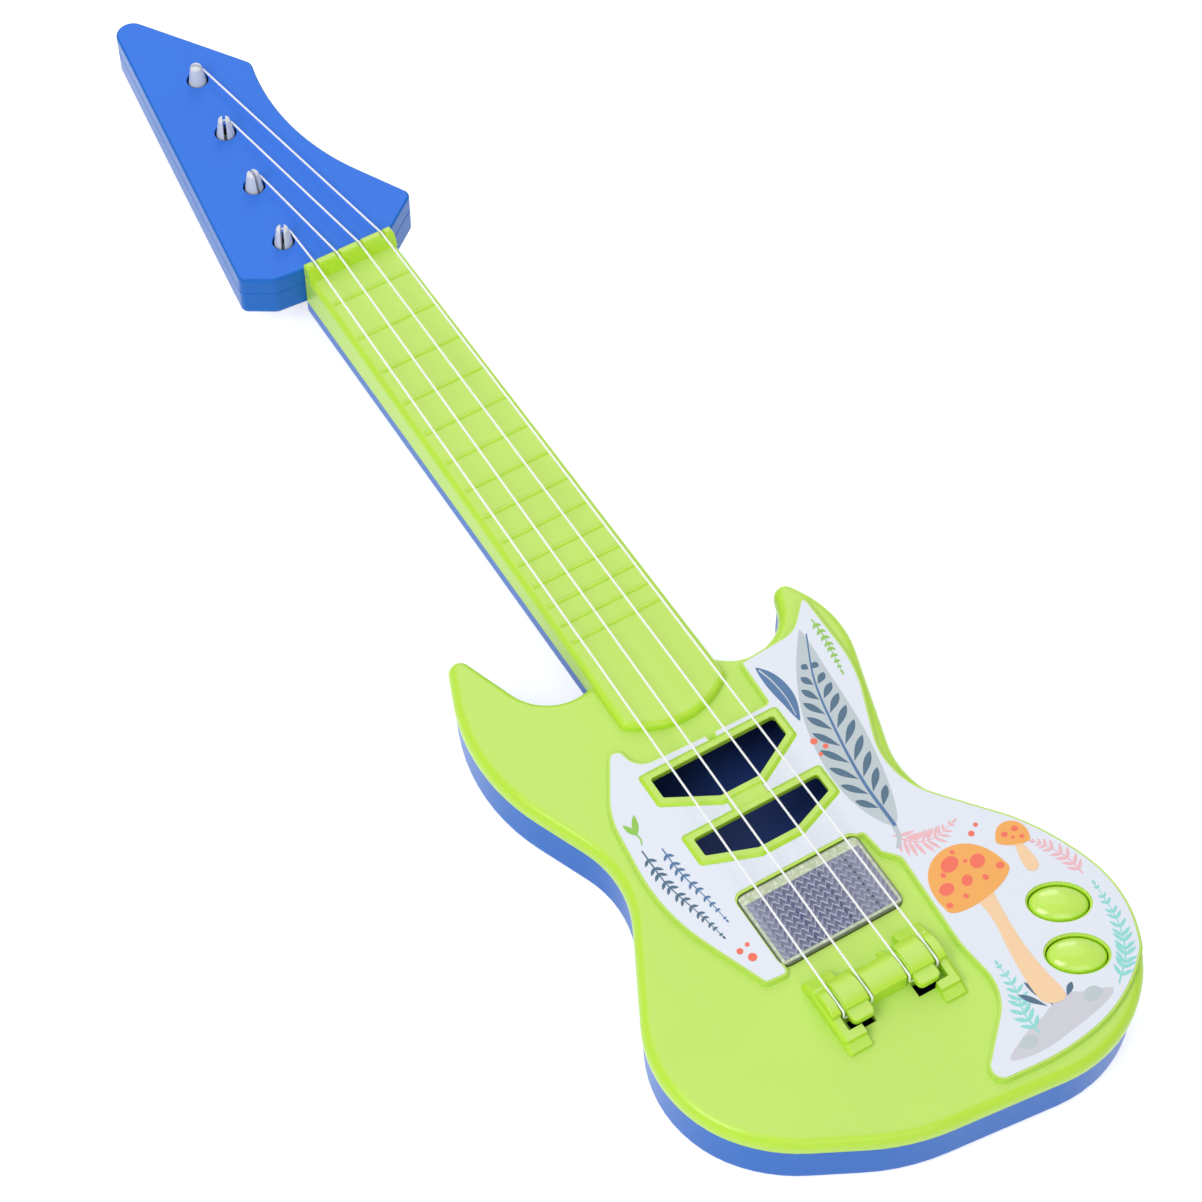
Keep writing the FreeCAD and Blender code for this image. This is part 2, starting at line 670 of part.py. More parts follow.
def saddle_bar():
    """Cross bar of the bridge with an arched top and rounded ends."""
    half = BRIDGE_HALF - JOIN
    bar = arched(0.0, SADDLE_Z, -half, half)
    ends = [edge for edge in bar.Edges
            if edge.BoundBox.XLength < JOIN and edge.BoundBox.ZMax > SADDLE_Z - JOIN]
    return bar.makeFillet(BAR_END_EDGE, ends)


def block(side):
    """Raised pad on the bar, as wide as the hook behind it."""
    x = side * HOOK_X
    pad = arched(BLOCK_LEAD, SADDLE_Z + BLOCK_RISE, x - HOOK_WIDTH / 2, x + HOOK_WIDTH / 2)
    return pad.cut(box(x - HOOK_WIDTH, x + HOOK_WIDTH, BAR_BACK_Y - 1, BAR_FRONT_Y - BAR_END_EDGE,
                       0, FACE_Z + JOIN))


def hook(side):
    """Tongue that a string is looped under."""
    x0, x1 = side * HOOK_X - HOOK_WIDTH / 2, side * HOOK_X + HOOK_WIDTH / 2
    end = BAR_BACK_Y - HOOK_LENGTH
    corners = [(x1, BAR_BACK_Y + JOIN, 0.0), (x0, BAR_BACK_Y + JOIN, 0.0),
               (x0, end, HOOK_CORNER), (x1, end, HOOK_CORNER)]
    tongue = slab(corners, HOOK_TOP_Z - HOOK_THICK, HOOK_TOP_Z)
    rim = [edge for edge in tongue.Edges if lies_at(edge, HOOK_TOP_Z) and edge.BoundBox.YMin < end + 1]
    return tongue.makeChamfer(HOOK_EDGE, rim)


def rail_profile():
    """Top line of a rail from the front ramp to the low rear step, as y and z."""
    step_y = HOOK_END_Y - STEP_LENGTH
    return [
        (RAMP_FRONT_Y, FACE_Z + RAMP_LOW), (BAR_FRONT_Y, FACE_Z + RAMP_HIGH),
        (BAR_BACK_Y, FACE_Z + RAIL_BACK), (HOOK_END_Y, FACE_Z + STEP_HIGH), (step_y, FACE_Z + STEP_HIGH),
        (step_y - STEP_DRAFT, FACE_Z + STEP_LOW), (BRIDGE_END_Y, FACE_Z + STEP_END),
    ]


def rail(side):
    """Ramp, side strip and stepped foot at one end of the bridge, in one run."""
    floor = FACE_Z - JOIN
    top = rail_profile()
    run = [(top[0][0], floor)] + top + [(top[-1][0], floor)]
    inner_run = BRIDGE_HALF - RAIL_WIDTH
    strip = side_profile(run, inner_run, BRIDGE_HALF)
    outer = [edge for edge in strip.Edges
             if edge.BoundBox.XMin > BRIDGE_HALF - 1e-4 and edge.BoundBox.ZMin > FACE_Z + 1
             and edge.BoundBox.YLength > 0.1]
    strip = strip.makeChamfer(RAIL_CHAMFER, outer)
    wide = side_profile(run, RAMP_INNER_X, inner_run + JOIN)
    ramp = wide.common(box(0, BRIDGE_HALF, BAR_FRONT_Y - 1, RAMP_FRONT_Y + 1, floor - 1, SADDLE_Z + 1))
    stair = wide.common(box(STEP_INNER_X, BRIDGE_HALF, BRIDGE_END_Y - 1, HOOK_END_Y, floor - 1, SADDLE_Z + 1))
    whole = fuse([strip, ramp, stair])
    return whole if side > 0 else whole.mirror(V(0, 0, 0), V(1, 0, 0))


def gusset(side):
    """Small rib against the front of the bar."""
    foot, root = FACE_Z - JOIN, BAR_FRONT_Y - JOIN
    return side_profile([(BAR_FRONT_Y + GUSSET_RUN, foot), (root, FACE_Z + GUSSET_RISE), (root, foot)],
                        side * GUSSET_X - GUSSET_WIDTH / 2, side * GUSSET_X + GUSSET_WIDTH / 2)


def bridge():
    """Saddle bar, hooks, rails and gussets, grooved for the strings."""
    pieces = [saddle_bar()]
    for side in (-1, 1):
        pieces += [block(side), hook(side), rail(side), gusset(side)]
    whole = fuse(pieces)
    grooves = []
    start = BAR_BACK_Y - HOOK_LENGTH - HOOK_ROOM / 2
    bed = SADDLE_Z - GROOVE_DEPTH
    for x in string_x_at_saddle():
        x0, x1 = x - GROOVE_WIDTH / 2, x + GROOVE_WIDTH / 2
        grooves.append(box(x0, x1, start, RAMP_FRONT_Y + 1, bed, SADDLE_Z + 1))
        grooves.append(box(x0, x1, start, BAR_BACK_Y + GROOVE_WIDTH, FACE_Z + HOOK_ROOM, bed + 1))
    return whole.cut(grooves)


def hook_openings():
    """Through-slots below the hooks, which free the mould core."""
    half = (HOOK_WIDTH + HOOK_ROOM) / 2
    return [box(side * HOOK_X - half, side * HOOK_X + half, HOOK_END_Y, BAR_BACK_Y,
                CEILING_Z - JOIN, HOOK_TOP_Z - HOOK_THICK) for side in (-1, 1)]


def button_collars():
    """Oval guide walls under the face, sharing one web between the buttons."""
    inner = BUTTON_FLANGE + BUTTON_CLEARANCE
    outer = inner + COLLAR_WALL
    low = CEILING_Z - COLLAR_DROP
    walls = [oval(centre, BUTTON_LONG + outer, BUTTON_SHORT + outer, low, CEILING_Z + JOIN, BUTTON_ANGLE)
             for centre in button_centres().values()]
    wells = [oval(centre, BUTTON_LONG + inner, BUTTON_SHORT + inner, low - 1, CEILING_Z, BUTTON_ANGLE)
             for centre in button_centres().values()]
    return fuse(walls).cut(wells)


def oval_wire(centre, long_half, short_half, z):
    """Ellipse turned to the buttons' angle."""
    wire_at = Part.Wire([Part.Ellipse(V(0, 0, 0), long_half, short_half).toShape()])
    wire_at.rotate(V(0, 0, 0), V(0, 0, 1), BUTTON_ANGLE)
    wire_at.translate(V(centre[0], centre[1], z))
    return wire_at


def button_opening(centre):
    """Oval opening with a sloping lip all round."""
    throat = (BUTTON_LONG - LIP_BEVEL, BUTTON_SHORT - LIP_BEVEL)
    hole = oval(centre, throat[0], throat[1], CEILING_Z - JOIN, PANEL_Z + 1, BUTTON_ANGLE)
    lip = Part.makeLoft([oval_wire(centre, throat[0], throat[1], PANEL_Z - LIP_BEVEL),
                         oval_wire(centre, BUTTON_LONG, BUTTON_SHORT, PANEL_Z)], True, True)
    above = oval(centre, BUTTON_LONG, BUTTON_SHORT, PANEL_Z - JOIN / 2, PANEL_Z + 1, BUTTON_ANGLE)
    return [hole, lip, above]


def front_boss(x, y, low):
    """Screw boss that hangs from the front's ceiling."""
    return rod(x, y, low, CEILING_Z + JOIN, BOSS_RADIUS)


def board_boss(x, y):
    """Boss that carries the main board."""
    return rod(x, y, MAIN_BOARD_TOP, CEILING_Z + JOIN, BOARD_POST_RADIUS)


def front_shell():
    """The whole green moulding."""
    pieces = [front_body(), neck_front(), nut_bar(), bridge(), rim_pad()]
    pieces += raised_panel()
    pieces += [hole_rim(hole) for hole in SOUND_HOLES]
    pieces += [fret(y) for y in fret_stations()]
    pieces.append(button_collars())
    pieces += [front_boss(x, y, SEAM_Z - BOSS_SEAT + BOSS_GAP) for x, y in CASE_SCREWS]
    pieces += [board_boss(side * MAIN_SCREW_X, MAIN_SCREW_Y) for side in (-1, 1)]
    whole = fuse(pieces)
    cuts = [slab(sound_hole_corners(*hole), CEILING_Z - JOIN, FACE_Z + RIM_RISE + 1) for hole in SOUND_HOLES]
    cuts += [slab(rim_corners(hole, RIM_CORE), CEILING_Z - JOIN, FACE_Z + RIM_RISE - RIM_LIP)
             for hole in SOUND_HOLES]
    cuts += [slab(window_corners(), CEILING_Z - JOIN, PANEL_Z + 1)]
    for centre in button_centres().values():
        cuts += button_opening(centre)
    cuts += hook_openings()
    cuts += [rod(x, y, SEAM_Z - BOSS_SEAT - 1, CEILING_Z, SCREW_RADIUS + SCREW_FIT) for x, y in CASE_SCREWS]
    cuts += [rod(side * MAIN_SCREW_X, MAIN_SCREW_Y, MAIN_BOARD_TOP - 1, CEILING_Z - 1,
                 SCREW_RADIUS + SCREW_FIT) for side in (-1, 1)]
    return whole.cut(cuts)


# ---- back shell -----------------------------------------------------------------------------
def back_body():
    """Blue body tray with a rounded back edge."""
    tray = slab(BODY, 0, SEAM_Z, BACK_INSET)
    tray = round_edges(tray, BACK_RADIUS, lambda edge: lies_at(edge, 0))
    return tray.cut(slab(BODY, WALL, SEAM_Z + JOIN, BACK_INSET + WALL))


def back_lip():
    """Locating lip that stands inside the front shell, left out at the neck and round the bosses."""
    inner = WALL + LIP_CLEARANCE + LIP_WALL
    upper = slab(BODY, SEAM_Z - LIP_RISE, SEAM_Z + LIP_RISE, WALL + LIP_CLEARANCE)
    lower = slab(BODY, SEAM_Z - 2 * LIP_RISE, SEAM_Z - LIP_CLEARANCE, WALL - LIP_CLEARANCE)
    ring = upper.fuse(lower).cut(slab(BODY, SEAM_Z - FAR / 2, SEAM_Z + FAR / 2, inner))
    half = NECK_HALF_HEEL + 2 * WALL
    low = SEAM_Z - 2 * LIP_RISE - 1
    gaps = [box(-half, half, HEEL_Y - 2 * WALL, NECK_JOINT_Y + WALL, low, FACE_Z)]
    gaps += [rod(x, y, low, FACE_Z, BOSS_RADIUS + LIP_CLEARANCE) for x, y in CASE_SCREWS]
    collar = BUTTON_FLANGE + BUTTON_CLEARANCE + COLLAR_WALL + LIP_CLEARANCE
    gaps += [oval(centre, BUTTON_LONG + collar, BUTTON_SHORT + collar, low, FACE_Z, BUTTON_ANGLE)
             for centre in button_centres().values()]
    return ring.cut(gaps)


def neck_back():
    """Rounded blue back of the neck, hollow, with its top along the sloping seam."""
    end = NUT_Y + HEAD_GAP + WALL / 2
    block = slab(neck_corners(NECK_ROOT_Y, NUT_Y), SEAM_Z - FAR / 2, SEAM_Z + 1)
    low = [(y, seam_height(y) - NECK_BACK_DEPTH) for y in (NECK_ROOT_Y - 1, NECK_JOINT_Y, NUT_Y + 1)]
    under = side_profile([(low[0][0], -FAR)] + low + [(low[2][0], -FAR)], -FAR, FAR)
    block = block.cut(under)
    long_edges = [edge for edge in block.Edges
                  if edge.Length > 100 and edge.BoundBox.ZMax < SEAM_Z - NECK_BACK_DEPTH + 0.01]
    block = block.makeFillet(NECK_BACK_RADIUS, long_edges)
    above = side_profile([(0, FAR), (0, SEAM_Z), (NECK_JOINT_Y, SEAM_Z), (FAR, seam_height(FAR)),
                          (FAR, FAR)], -FAR, FAR)
    inner = slab(neck_corners(NECK_JOINT_Y + WALL, NUT_Y - WALL), -FAR, FAR, WALL)
    floor = [(y, z + WALL) for y, z in low]
    core = inner.cut(side_profile([(floor[0][0], -FAR)] + floor + [(floor[2][0] + 1, -FAR)], -FAR, FAR))
    core_edges = [edge for edge in core.Edges if edge.Length > 100 and edge.BoundBox.ZMax < SEAM_Z
                  and edge.BoundBox.ZMin > 0]
    core = core.makeFillet(NECK_BACK_RADIUS - WALL, core_edges)
    spine = box(-SPINE_HALF, SPINE_HALF, NUT_Y - SPINE_LENGTH, end,
                seam_height(NUT_Y) - NECK_BACK_DEPTH + 1, SPINE_TOP)
    return block.cut([above, core]).fuse(spine)


def head_tray():
    """Blue back half of the headstock with a bearing sleeve for every peg."""
    corners = head_corners()
    tray = slab(corners, HEAD_BACK_Z, HEAD_SEAM_Z)
    tray = round_edges(tray, 2 * HEAD_EDGE, lambda edge: lies_at(edge, HEAD_BACK_Z))
    tray = tray.makeChamfer(HEAD_SEAM_BREAK, [edge for edge in tray.Edges if lies_at(edge, HEAD_SEAM_Z)])
    tray = tray.cut(slab(corners, HEAD_BACK_Z + WALL, HEAD_SEAM_Z + JOIN, WALL))
    floor = HEAD_BACK_Z + WALL - JOIN
    sleeve_radius = PEG_RADIUS + PEG_CLEARANCE + SLEEVE_WALL
    sleeves = [rod(x, y, floor, SLEEVE_TOP, sleeve_radius) for x, y in peg_centres()]
    posts = [rod(x, y, floor, HEAD_SEAM_Z, BOSS_RADIUS) for x, y in HEAD_SCREWS]
    return fuse([tray] + sleeves + posts)


def head_cuts():
    """Peg bores and screw holes through the headstock's back."""
    cuts = [rod(x, y, 0, SLEEVE_TOP + 1, PEG_RADIUS + PEG_CLEARANCE) for x, y in peg_centres()]
    seat = HEAD_SEAM_Z - BOSS_SEAT
    for x, y in HEAD_SCREWS:
        cuts.append(rod(x, y, 0, seat, BOSS_BORE))
        cuts.append(rod(x, y, 0, HEAD_Z, SCREW_RADIUS + SCREW_CLEARANCE))
    return cuts


def box_limits():
    """Inner limits of the battery box in plan."""
    half_x = (CELL_LENGTH + CELL_NUB + SPRING_LENGTH + 2 * CONTACT_THICK + CELL_SPACE) / 2
    half_y = (CELL_COUNT * CELL_PITCH + 2 * CELL_SPACE) / 2
    x, y = BOX_CENTRE
    return x - half_x, x + half_x, y - half_y, y + half_y


def box_top():
    """Inner height of the battery box."""
    return DOOR_THICK + 2 * CELL_RADIUS + 2 * CELL_SPACE


def door_plan(clearance):
    """Solid of the door: plate, screw lug and two hooks, grown by clearance."""
    x0, x1, y0, y1 = box_limits()
    ledge = DOOR_MARGIN - BOX_WALL - clearance
    centre = (y0 + y1) / 2
    grow = BOX_WALL - ledge
    plate = box(x0 - grow, x1 + grow, y0 - grow, y1 + grow, 0, DOOR_THICK)
    half = DOOR_TAB / 2 + clearance
    lug = box(x1 - 1, x1 + DOOR_TAB_RUN + clearance, centre - half, centre + half, 0, DOOR_THICK)
    return fuse([plate, lug])


def door_hooks(clearance):
    """Two hooks that catch behind the back wall beside the door opening."""
    x0, _, y0, y1 = box_limits()
    hooks = []
    for y in (y0 + CELL_PITCH / 2, y1 - CELL_PITCH / 2):
        half = DOOR_HOOK_WIDTH / 2 + clearance
        hooks.append(box(x0 - DOOR_HOOK_RUN - clearance, x0 + DOOR_HOOK_RUN, y - half, y + half,
                         DOOR_THICK - DOOR_HOOK_THICK - clearance, DOOR_THICK + clearance / 2))
    return hooks


def battery_box():
    """Walls and roof of the battery box, still without its cavity."""
    x0, x1, y0, y1 = box_limits()
    wall = BOX_WALL
    return box(x0 - wall, x1 + wall, y0 - wall, y1 + wall, WALL - JOIN, box_top() + wall)


def door_screw_at():
    """Centre of the door's screw."""
    _, x1, y0, y1 = box_limits()
    return x1 + DOOR_TAB_RUN / 2 + DOOR_SCREW_SHIFT, (y0 + y1) / 2


def box_cuts():
    """Cavity, door opening, hook pockets and screw hole of the battery box."""
    x0, x1, y0, y1 = box_limits()
    cuts = [box(x0, x1, y0, y1, 0, box_top()), door_plan(DOOR_CLEARANCE)]
    cuts += door_hooks(DOOR_CLEARANCE)
    x, y = door_screw_at()
    cuts.append(rod(x, y, 0, DOOR_SCREW_LENGTH + 2, SCREW_RADIUS + SCREW_FIT))
    return cuts


def grille_holes():
    """Round holes of the speaker grille in a hexagonal field."""
    holes = []
    row_pitch = GRILLE_PITCH * math.sqrt(3) / 2
    rows = int(GRILLE_RADIUS / row_pitch)
    for row in range(-rows, rows + 1):
        start = GRILLE_PITCH / 2 if row % 2 else 0.0
        for column in range(-rows - 1, rows + 2):
            x, y = start + column * GRILLE_PITCH, row * row_pitch
            if math.hypot(x, y) <= GRILLE_RADIUS:
                holes.append(rod(SPEAKER_AT[0] + x, SPEAKER_AT[1] + y, -1, WALL + 1, GRILLE_HOLE))
    return holes


def speaker_ring():
    """Ring wall that holds the speaker."""
    inner = SPEAKER_RADIUS + SPEAKER_CLEARANCE
    outer = inner + SPEAKER_RING_WALL
    return tube(SPEAKER_AT[0], SPEAKER_AT[1], WALL - JOIN, WALL + SPEAKER_RING_RISE, outer, inner)


def button_board_frame():
    """Centre and direction of the button board."""
    upper, lower = [V(x, y, 0) for x, y in button_centres().values()]
    return (upper + lower) * 0.5, unit(upper - lower)


def button_board_low():
    """Height of the button board's underside."""
    flange_low = CEILING_Z - BUTTON_FLANGE_GAP - BUTTON_FLANGE_THICK
    return flange_low - BUTTON_STEM_DROP - PLUNGER_RISE - SWITCH_HEIGHT - BOARD_THICK


def button_board_posts():
    """Two posts that carry the button board."""
    centre, along = button_board_frame()
    return [centre + along * (side * BUTTON_SCREW_HALF) for side in (-1, 1)]


def case_boss(x, y):
    """Back boss up to the seat of the front boss."""
    return rod(x, y, WALL - JOIN, SEAM_Z - BOSS_SEAT, BOSS_RADIUS)


def case_screw_cuts(x, y):
    """Head well and clearance hole of one case screw."""
    seat = SEAM_Z - BOSS_SEAT - WALL
    return [rod(x, y, -1, seat, BOSS_BORE), rod(x, y, -1, SEAM_Z, SCREW_RADIUS + SCREW_CLEARANCE)]


def back_shell():
    """The whole blue back moulding."""
    pieces = [back_body(), back_lip(), neck_back(), head_tray(), battery_box(), speaker_ring()]
    pieces += [case_boss(x, y) for x, y in CASE_SCREWS]
    posts = button_board_posts()
    pieces += [rod(at.x, at.y, WALL - JOIN, button_board_low(), BOARD_POST_RADIUS) for at in posts]
    screw_x, screw_y = door_screw_at()
    pieces.append(rod(screw_x, screw_y, WALL - JOIN, DOOR_SCREW_LENGTH + 2.5, BOSS_RADIUS))
    whole = fuse(pieces)
    cuts = head_cuts() + box_cuts() + grille_holes()
    for x, y in CASE_SCREWS:
        cuts += case_screw_cuts(x, y)
    cuts += [rod(at.x, at.y, WALL - JOIN, button_board_low() + 1, SCREW_RADIUS + SCREW_FIT) for at in posts]
    return whole.cut(cuts)


def headstock_cover():
    """Blue front half of the headstock."""
    corners = head_corners()
    cover = slab(corners, HEAD_SEAM_Z, HEAD_Z)
    cover = round_edges(cover, HEAD_EDGE, lambda edge: lies_at(edge, HEAD_Z))
    cover = cover.makeChamfer(HEAD_SEAM_BREAK, [edge for edge in cover.Edges if lies_at(edge, HEAD_SEAM_Z)])
    cover = cover.cut(slab(corners, HEAD_SEAM_Z - JOIN, HEAD_Z - WALL, WALL))
    bosses = [rod(x, y, HEAD_SEAM_Z + BOSS_GAP, HEAD_Z - WALL + JOIN, BOSS_RADIUS) for x, y in HEAD_SCREWS]
    cuts = [rod(x, y, HEAD_SEAM_Z - 1, HEAD_Z + 1, PEG_HOLE_RADIUS) for x, y in peg_centres()]
    cuts += [rod(x, y, HEAD_SEAM_Z - 1, HEAD_Z - WALL, SCREW_RADIUS + SCREW_FIT) for x, y in HEAD_SCREWS]
    return fuse([cover] + bosses).cut(cuts)


# ---- sticker, window, buttons ---------------------------------------------------------------
def film_opening():
    """Opening of the film round the window, with more room above it."""
    side, high = WINDOW_HALF_X + WINDOW_FILM_GAP, WINDOW_TOP_Y + WINDOW_FILM_TOP
    low, corner = WINDOW_BOTTOM_Y, WINDOW_CORNER + WINDOW_FILM_GAP
    return [(side, high, corner), (-side, high, corner), (-side, low, corner), (side, low, corner)]


def printed_sticker():
    """Thin printed film on the raised panel."""
    film = panel_area(PANEL_Z, PANEL_BORDER, WINDOW_FILM_GAP)
    holes = [face(rim_corners(hole, RIM_WIDTH + STICKER_THICK), PANEL_Z) for hole in SOUND_HOLES]
    solid = film.cut(holes).extrude(V(0, 0, STICKER_THICK))
    ovals = [oval(centre, BUTTON_LONG + BUTTON_FILM_GAP, BUTTON_SHORT + BUTTON_FILM_GAP,
                  PANEL_Z - 1, PANEL_Z + 1, BUTTON_ANGLE) for centre in button_centres().values()]
    pad = box(HOLE_X - PAD_HALF - STICKER_THICK, HOLE_X + PAD_HALF + STICKER_THICK, SOUND_HOLES[1][0],
              SOUND_HOLES[0][2], PANEL_Z - 1, PANEL_Z + 1)
    frame = slab(film_opening(), PANEL_Z - 1, PANEL_Z + 1)
    return solid.cut(ovals + [pad, frame])


def light_window():
    """Translucent window with a flange behind the face."""
    top = FACE_Z + WINDOW_PROUD
    body = slab(window_corners(), CEILING_Z - JOIN, top, WINDOW_CLEARANCE)
    body = round_edges(body, WINDOW_EDGE, lambda edge: lies_at(edge, top))
    flange = slab(window_corners(), CEILING_Z - WINDOW_FLANGE_THICK, CEILING_Z, -WINDOW_FLANGE)
    return fuse([body, flange])


def play_button(centre):
    """Oval cap with a domed top, a flange and a stem."""
    long_half = BUTTON_LONG - LIP_BEVEL - BUTTON_CLEARANCE
    short_half = BUTTON_SHORT - LIP_BEVEL - BUTTON_CLEARANCE
    flange_top = CEILING_Z - BUTTON_FLANGE_GAP
    flange_low = flange_top - BUTTON_FLANGE_THICK
    edge_z = PANEL_Z - BUTTON_EDGE_DROP
    cap = oval(centre, long_half, short_half, flange_low, edge_z, BUTTON_ANGLE)
    dome = Part.makeSphere(1.0, V(0, 0, 0), V(0, 0, 1), 0, 90, 360)
    matrix = FreeCAD.Matrix()
    matrix.scale(long_half, short_half, BUTTON_DOME)
    dome = dome.transformGeometry(matrix)
    dome.rotate(V(0, 0, 0), V(0, 0, 1), BUTTON_ANGLE)
    dome.translate(V(centre[0], centre[1], edge_z))
    flange = oval(centre, BUTTON_LONG + BUTTON_FLANGE, BUTTON_SHORT + BUTTON_FLANGE, flange_low, flange_top,
                  BUTTON_ANGLE)
    stem = rod(centre[0], centre[1], flange_low - BUTTON_STEM_DROP, flange_low + JOIN, BUTTON_STEM_RADIUS)
    return cap.fuse([dome, flange, stem])


def switch_top():
    """Top of a switch housing."""
    return button_board_low() + BOARD_THICK + SWITCH_HEIGHT


def switch_housing(centre):
    """Square housing with the bore its plunger slides in."""
    half = SWITCH_SIDE / 2
    top = switch_top()
    x, y = centre
    body = box(x - half, x + half, y - half, y + half, top - SWITCH_HEIGHT, top)
    body = body.makeChamfer(SWITCH_EDGE, [edge for edge in body.Edges if lies_at(edge, top)])
    depth = PLUNGER_DEPTH + BUTTON_TRAVEL + PLUNGER_FLOOR_GAP
    body = body.cut(rod(centre[0], centre[1], top - depth, top + 1, PLUNGER_RADIUS + PLUNGER_CLEARANCE))
    return turned(body, centre, BUTTON_ANGLE)


def switch_plunger(centre):
    """Round plunger between housing and button stem."""
    top = switch_top()
    return rod(centre[0], centre[1], top - PLUNGER_DEPTH, top + PLUNGER_RISE, PLUNGER_RADIUS)


# ---- boards ---------------------------------------------------------------------------------
def main_board():
    """Main circuit board with its two screw holes."""
    x0, x1, y0, y1 = MAIN_BOARD
    board = box(x0, x1, y0, y1, MAIN_BOARD_TOP - BOARD_THICK, MAIN_BOARD_TOP)
    return board.cut([rod(side * MAIN_SCREW_X, MAIN_SCREW_Y, 0, FACE_Z, SCREW_RADIUS + SCREW_CLEARANCE)
                      for side in (-1, 1)])


def button_board():
    """Board under the buttons, set along the line through both."""
    centre, along = button_board_frame()
    low = button_board_low()
    half_l, half_w = BUTTON_BOARD_LENGTH / 2, BUTTON_BOARD_WIDTH / 2
    board = box(-half_l, half_l, -half_w, half_w, low, low + BOARD_THICK)
    board.rotate(V(0, 0, 0), V(0, 0, 1), math.degrees(math.atan2(along.y, along.x)))
    board.translate(centre)
    return board.cut([rod(at.x, at.y, 0, FACE_Z, SCREW_RADIUS + SCREW_CLEARANCE)
                      for at in button_board_posts()])


def leds():
    """Three round LEDs under the window."""
    top = MAIN_BOARD_TOP
    lamps = []
    for i in (-1, 0, 1):
        x = i * LED_PITCH
        body = rod(x, LED_Y, top, top + LED_LENGTH - LED_RADIUS, LED_RADIUS)
        dome = Part.makeSphere(LED_RADIUS, V(x, LED_Y, top + LED_LENGTH - LED_RADIUS))
        ring = rod(x, LED_Y, top, top + LED_RING, LED_RADIUS + LED_FLANGE)
        lamps.append(fuse([body, dome, ring]))
    return Part.makeCompound(lamps)


def sound_chip():
    """Epoxy drop over the sound chip."""
    dome = Part.makeSphere(1.0, V(0, 0, 0), V(0, 0, 1), 0, 90, 360)
    matrix = FreeCAD.Matrix()
    matrix.scale(CHIP_RADIUS, CHIP_RADIUS, CHIP_RISE)
    dome = dome.transformGeometry(matrix)
    dome.translate(V(CHIP_AT[0], CHIP_AT[1], MAIN_BOARD_TOP))
    return dome


# ---- speaker --------------------------------------------------------------------------------
def speaker_basket():
    """Pressed basket: rim, cone-shaped back and magnet seat."""
    x, y = SPEAKER_AT
    low = WALL + SPEAKER_SEAT_GAP
    sheet = BASKET_SHEET
    r_out, r_lip = SPEAKER_RADIUS, SPEAKER_RADIUS - BASKET_LIP
    r_in = MAGNET_RADIUS + BASKET_SEAT
    z1, z2 = low + SPEAKER_FRONT, low + SPEAKER_FRONT + SPEAKER_BASKET
    points = [V(r_lip, 0, low), V(r_out, 0, low), V(r_out, 0, z1), V(r_lip + sheet, 0, z1), V(r_in, 0, z2),
              V(BASKET_HOLE, 0, z2), V(BASKET_HOLE, 0, z2 - sheet), V(r_in - sheet, 0, z2 - sheet),
              V(r_lip, 0, z1 - sheet), V(r_lip, 0, low)]
    basket = Part.Face(Part.makePolygon(points)).revolve(V(0, 0, 0), V(0, 0, 1), 360)
    basket.translate(V(x, y, 0))
    return basket


def speaker_cone():
    """Paper cone with its dust cap."""
    x, y = SPEAKER_AT
    low = WALL + CONE_GAP
    outer = SPEAKER_RADIUS - BASKET_LIP - CONE_SIDE_GAP
    bend = outer - CONE_SURROUND
    cap, neck = low + CAP_HEIGHT, low + CONE_DEPTH
    paper = CONE_PAPER
    points = [V(0, 0, cap), V(CAP_RADIUS, 0, neck), V(bend, 0, low), V(outer, 0, low), V(outer, 0, low + paper),
              V(bend, 0, low + paper), V(CAP_RADIUS, 0, neck + paper), V(0, 0, cap + paper), V(0, 0, cap)]
    cone = Part.Face(Part.makePolygon(points)).revolve(V(0, 0, 0), V(0, 0, 1), 360)
    cone.translate(V(x, y, 0))
    return cone


def speaker_magnet():
    """Round magnet on the back of the basket."""
    low = WALL + SPEAKER_SEAT_GAP + SPEAKER_FRONT + SPEAKER_BASKET
    return rod(SPEAKER_AT[0], SPEAKER_AT[1], low, low + MAGNET_LENGTH, MAGNET_RADIUS)


# ---- battery parts --------------------------------------------------------------------------
def cell_rows():
    """Y of each cell and the direction its positive end points in."""
    _, _, y0, y1 = box_limits()
    middle = (y0 + y1) / 2
    return [(middle + (i - 1) * CELL_PITCH, 1 if i % 2 == 0 else -1) for i in range(CELL_COUNT)]


def cell_height():
    """Height of the cells' axes."""
    return DOOR_THICK + CELL_SPACE + CELL_RADIUS


def cell_start(direction):
    """X of a cell's flat end."""
    x0, x1, _, _ = box_limits()
    run = CONTACT_THICK + SPRING_LENGTH
    return x0 + run if direction > 0 else x1 - run


def battery_cells():
    """Three AAA cells, laid head to tail."""
    cells = []
    for y, direction in cell_rows():
        start = V(cell_start(direction), y, cell_height())
        along = V(direction, 0, 0)
        can = Part.makeCylinder(CELL_RADIUS, CELL_LENGTH, start, along)
        can = round_edges(can, CELL_EDGE, lambda edge: edge.BoundBox.XLength < 1e-3)
        nub = Part.makeCylinder(CELL_NUB_RADIUS, CELL_NUB + JOIN, start + along * (CELL_LENGTH - JOIN), along)
        cells.append(can.fuse(nub))
    return Part.makeCompound(cells)


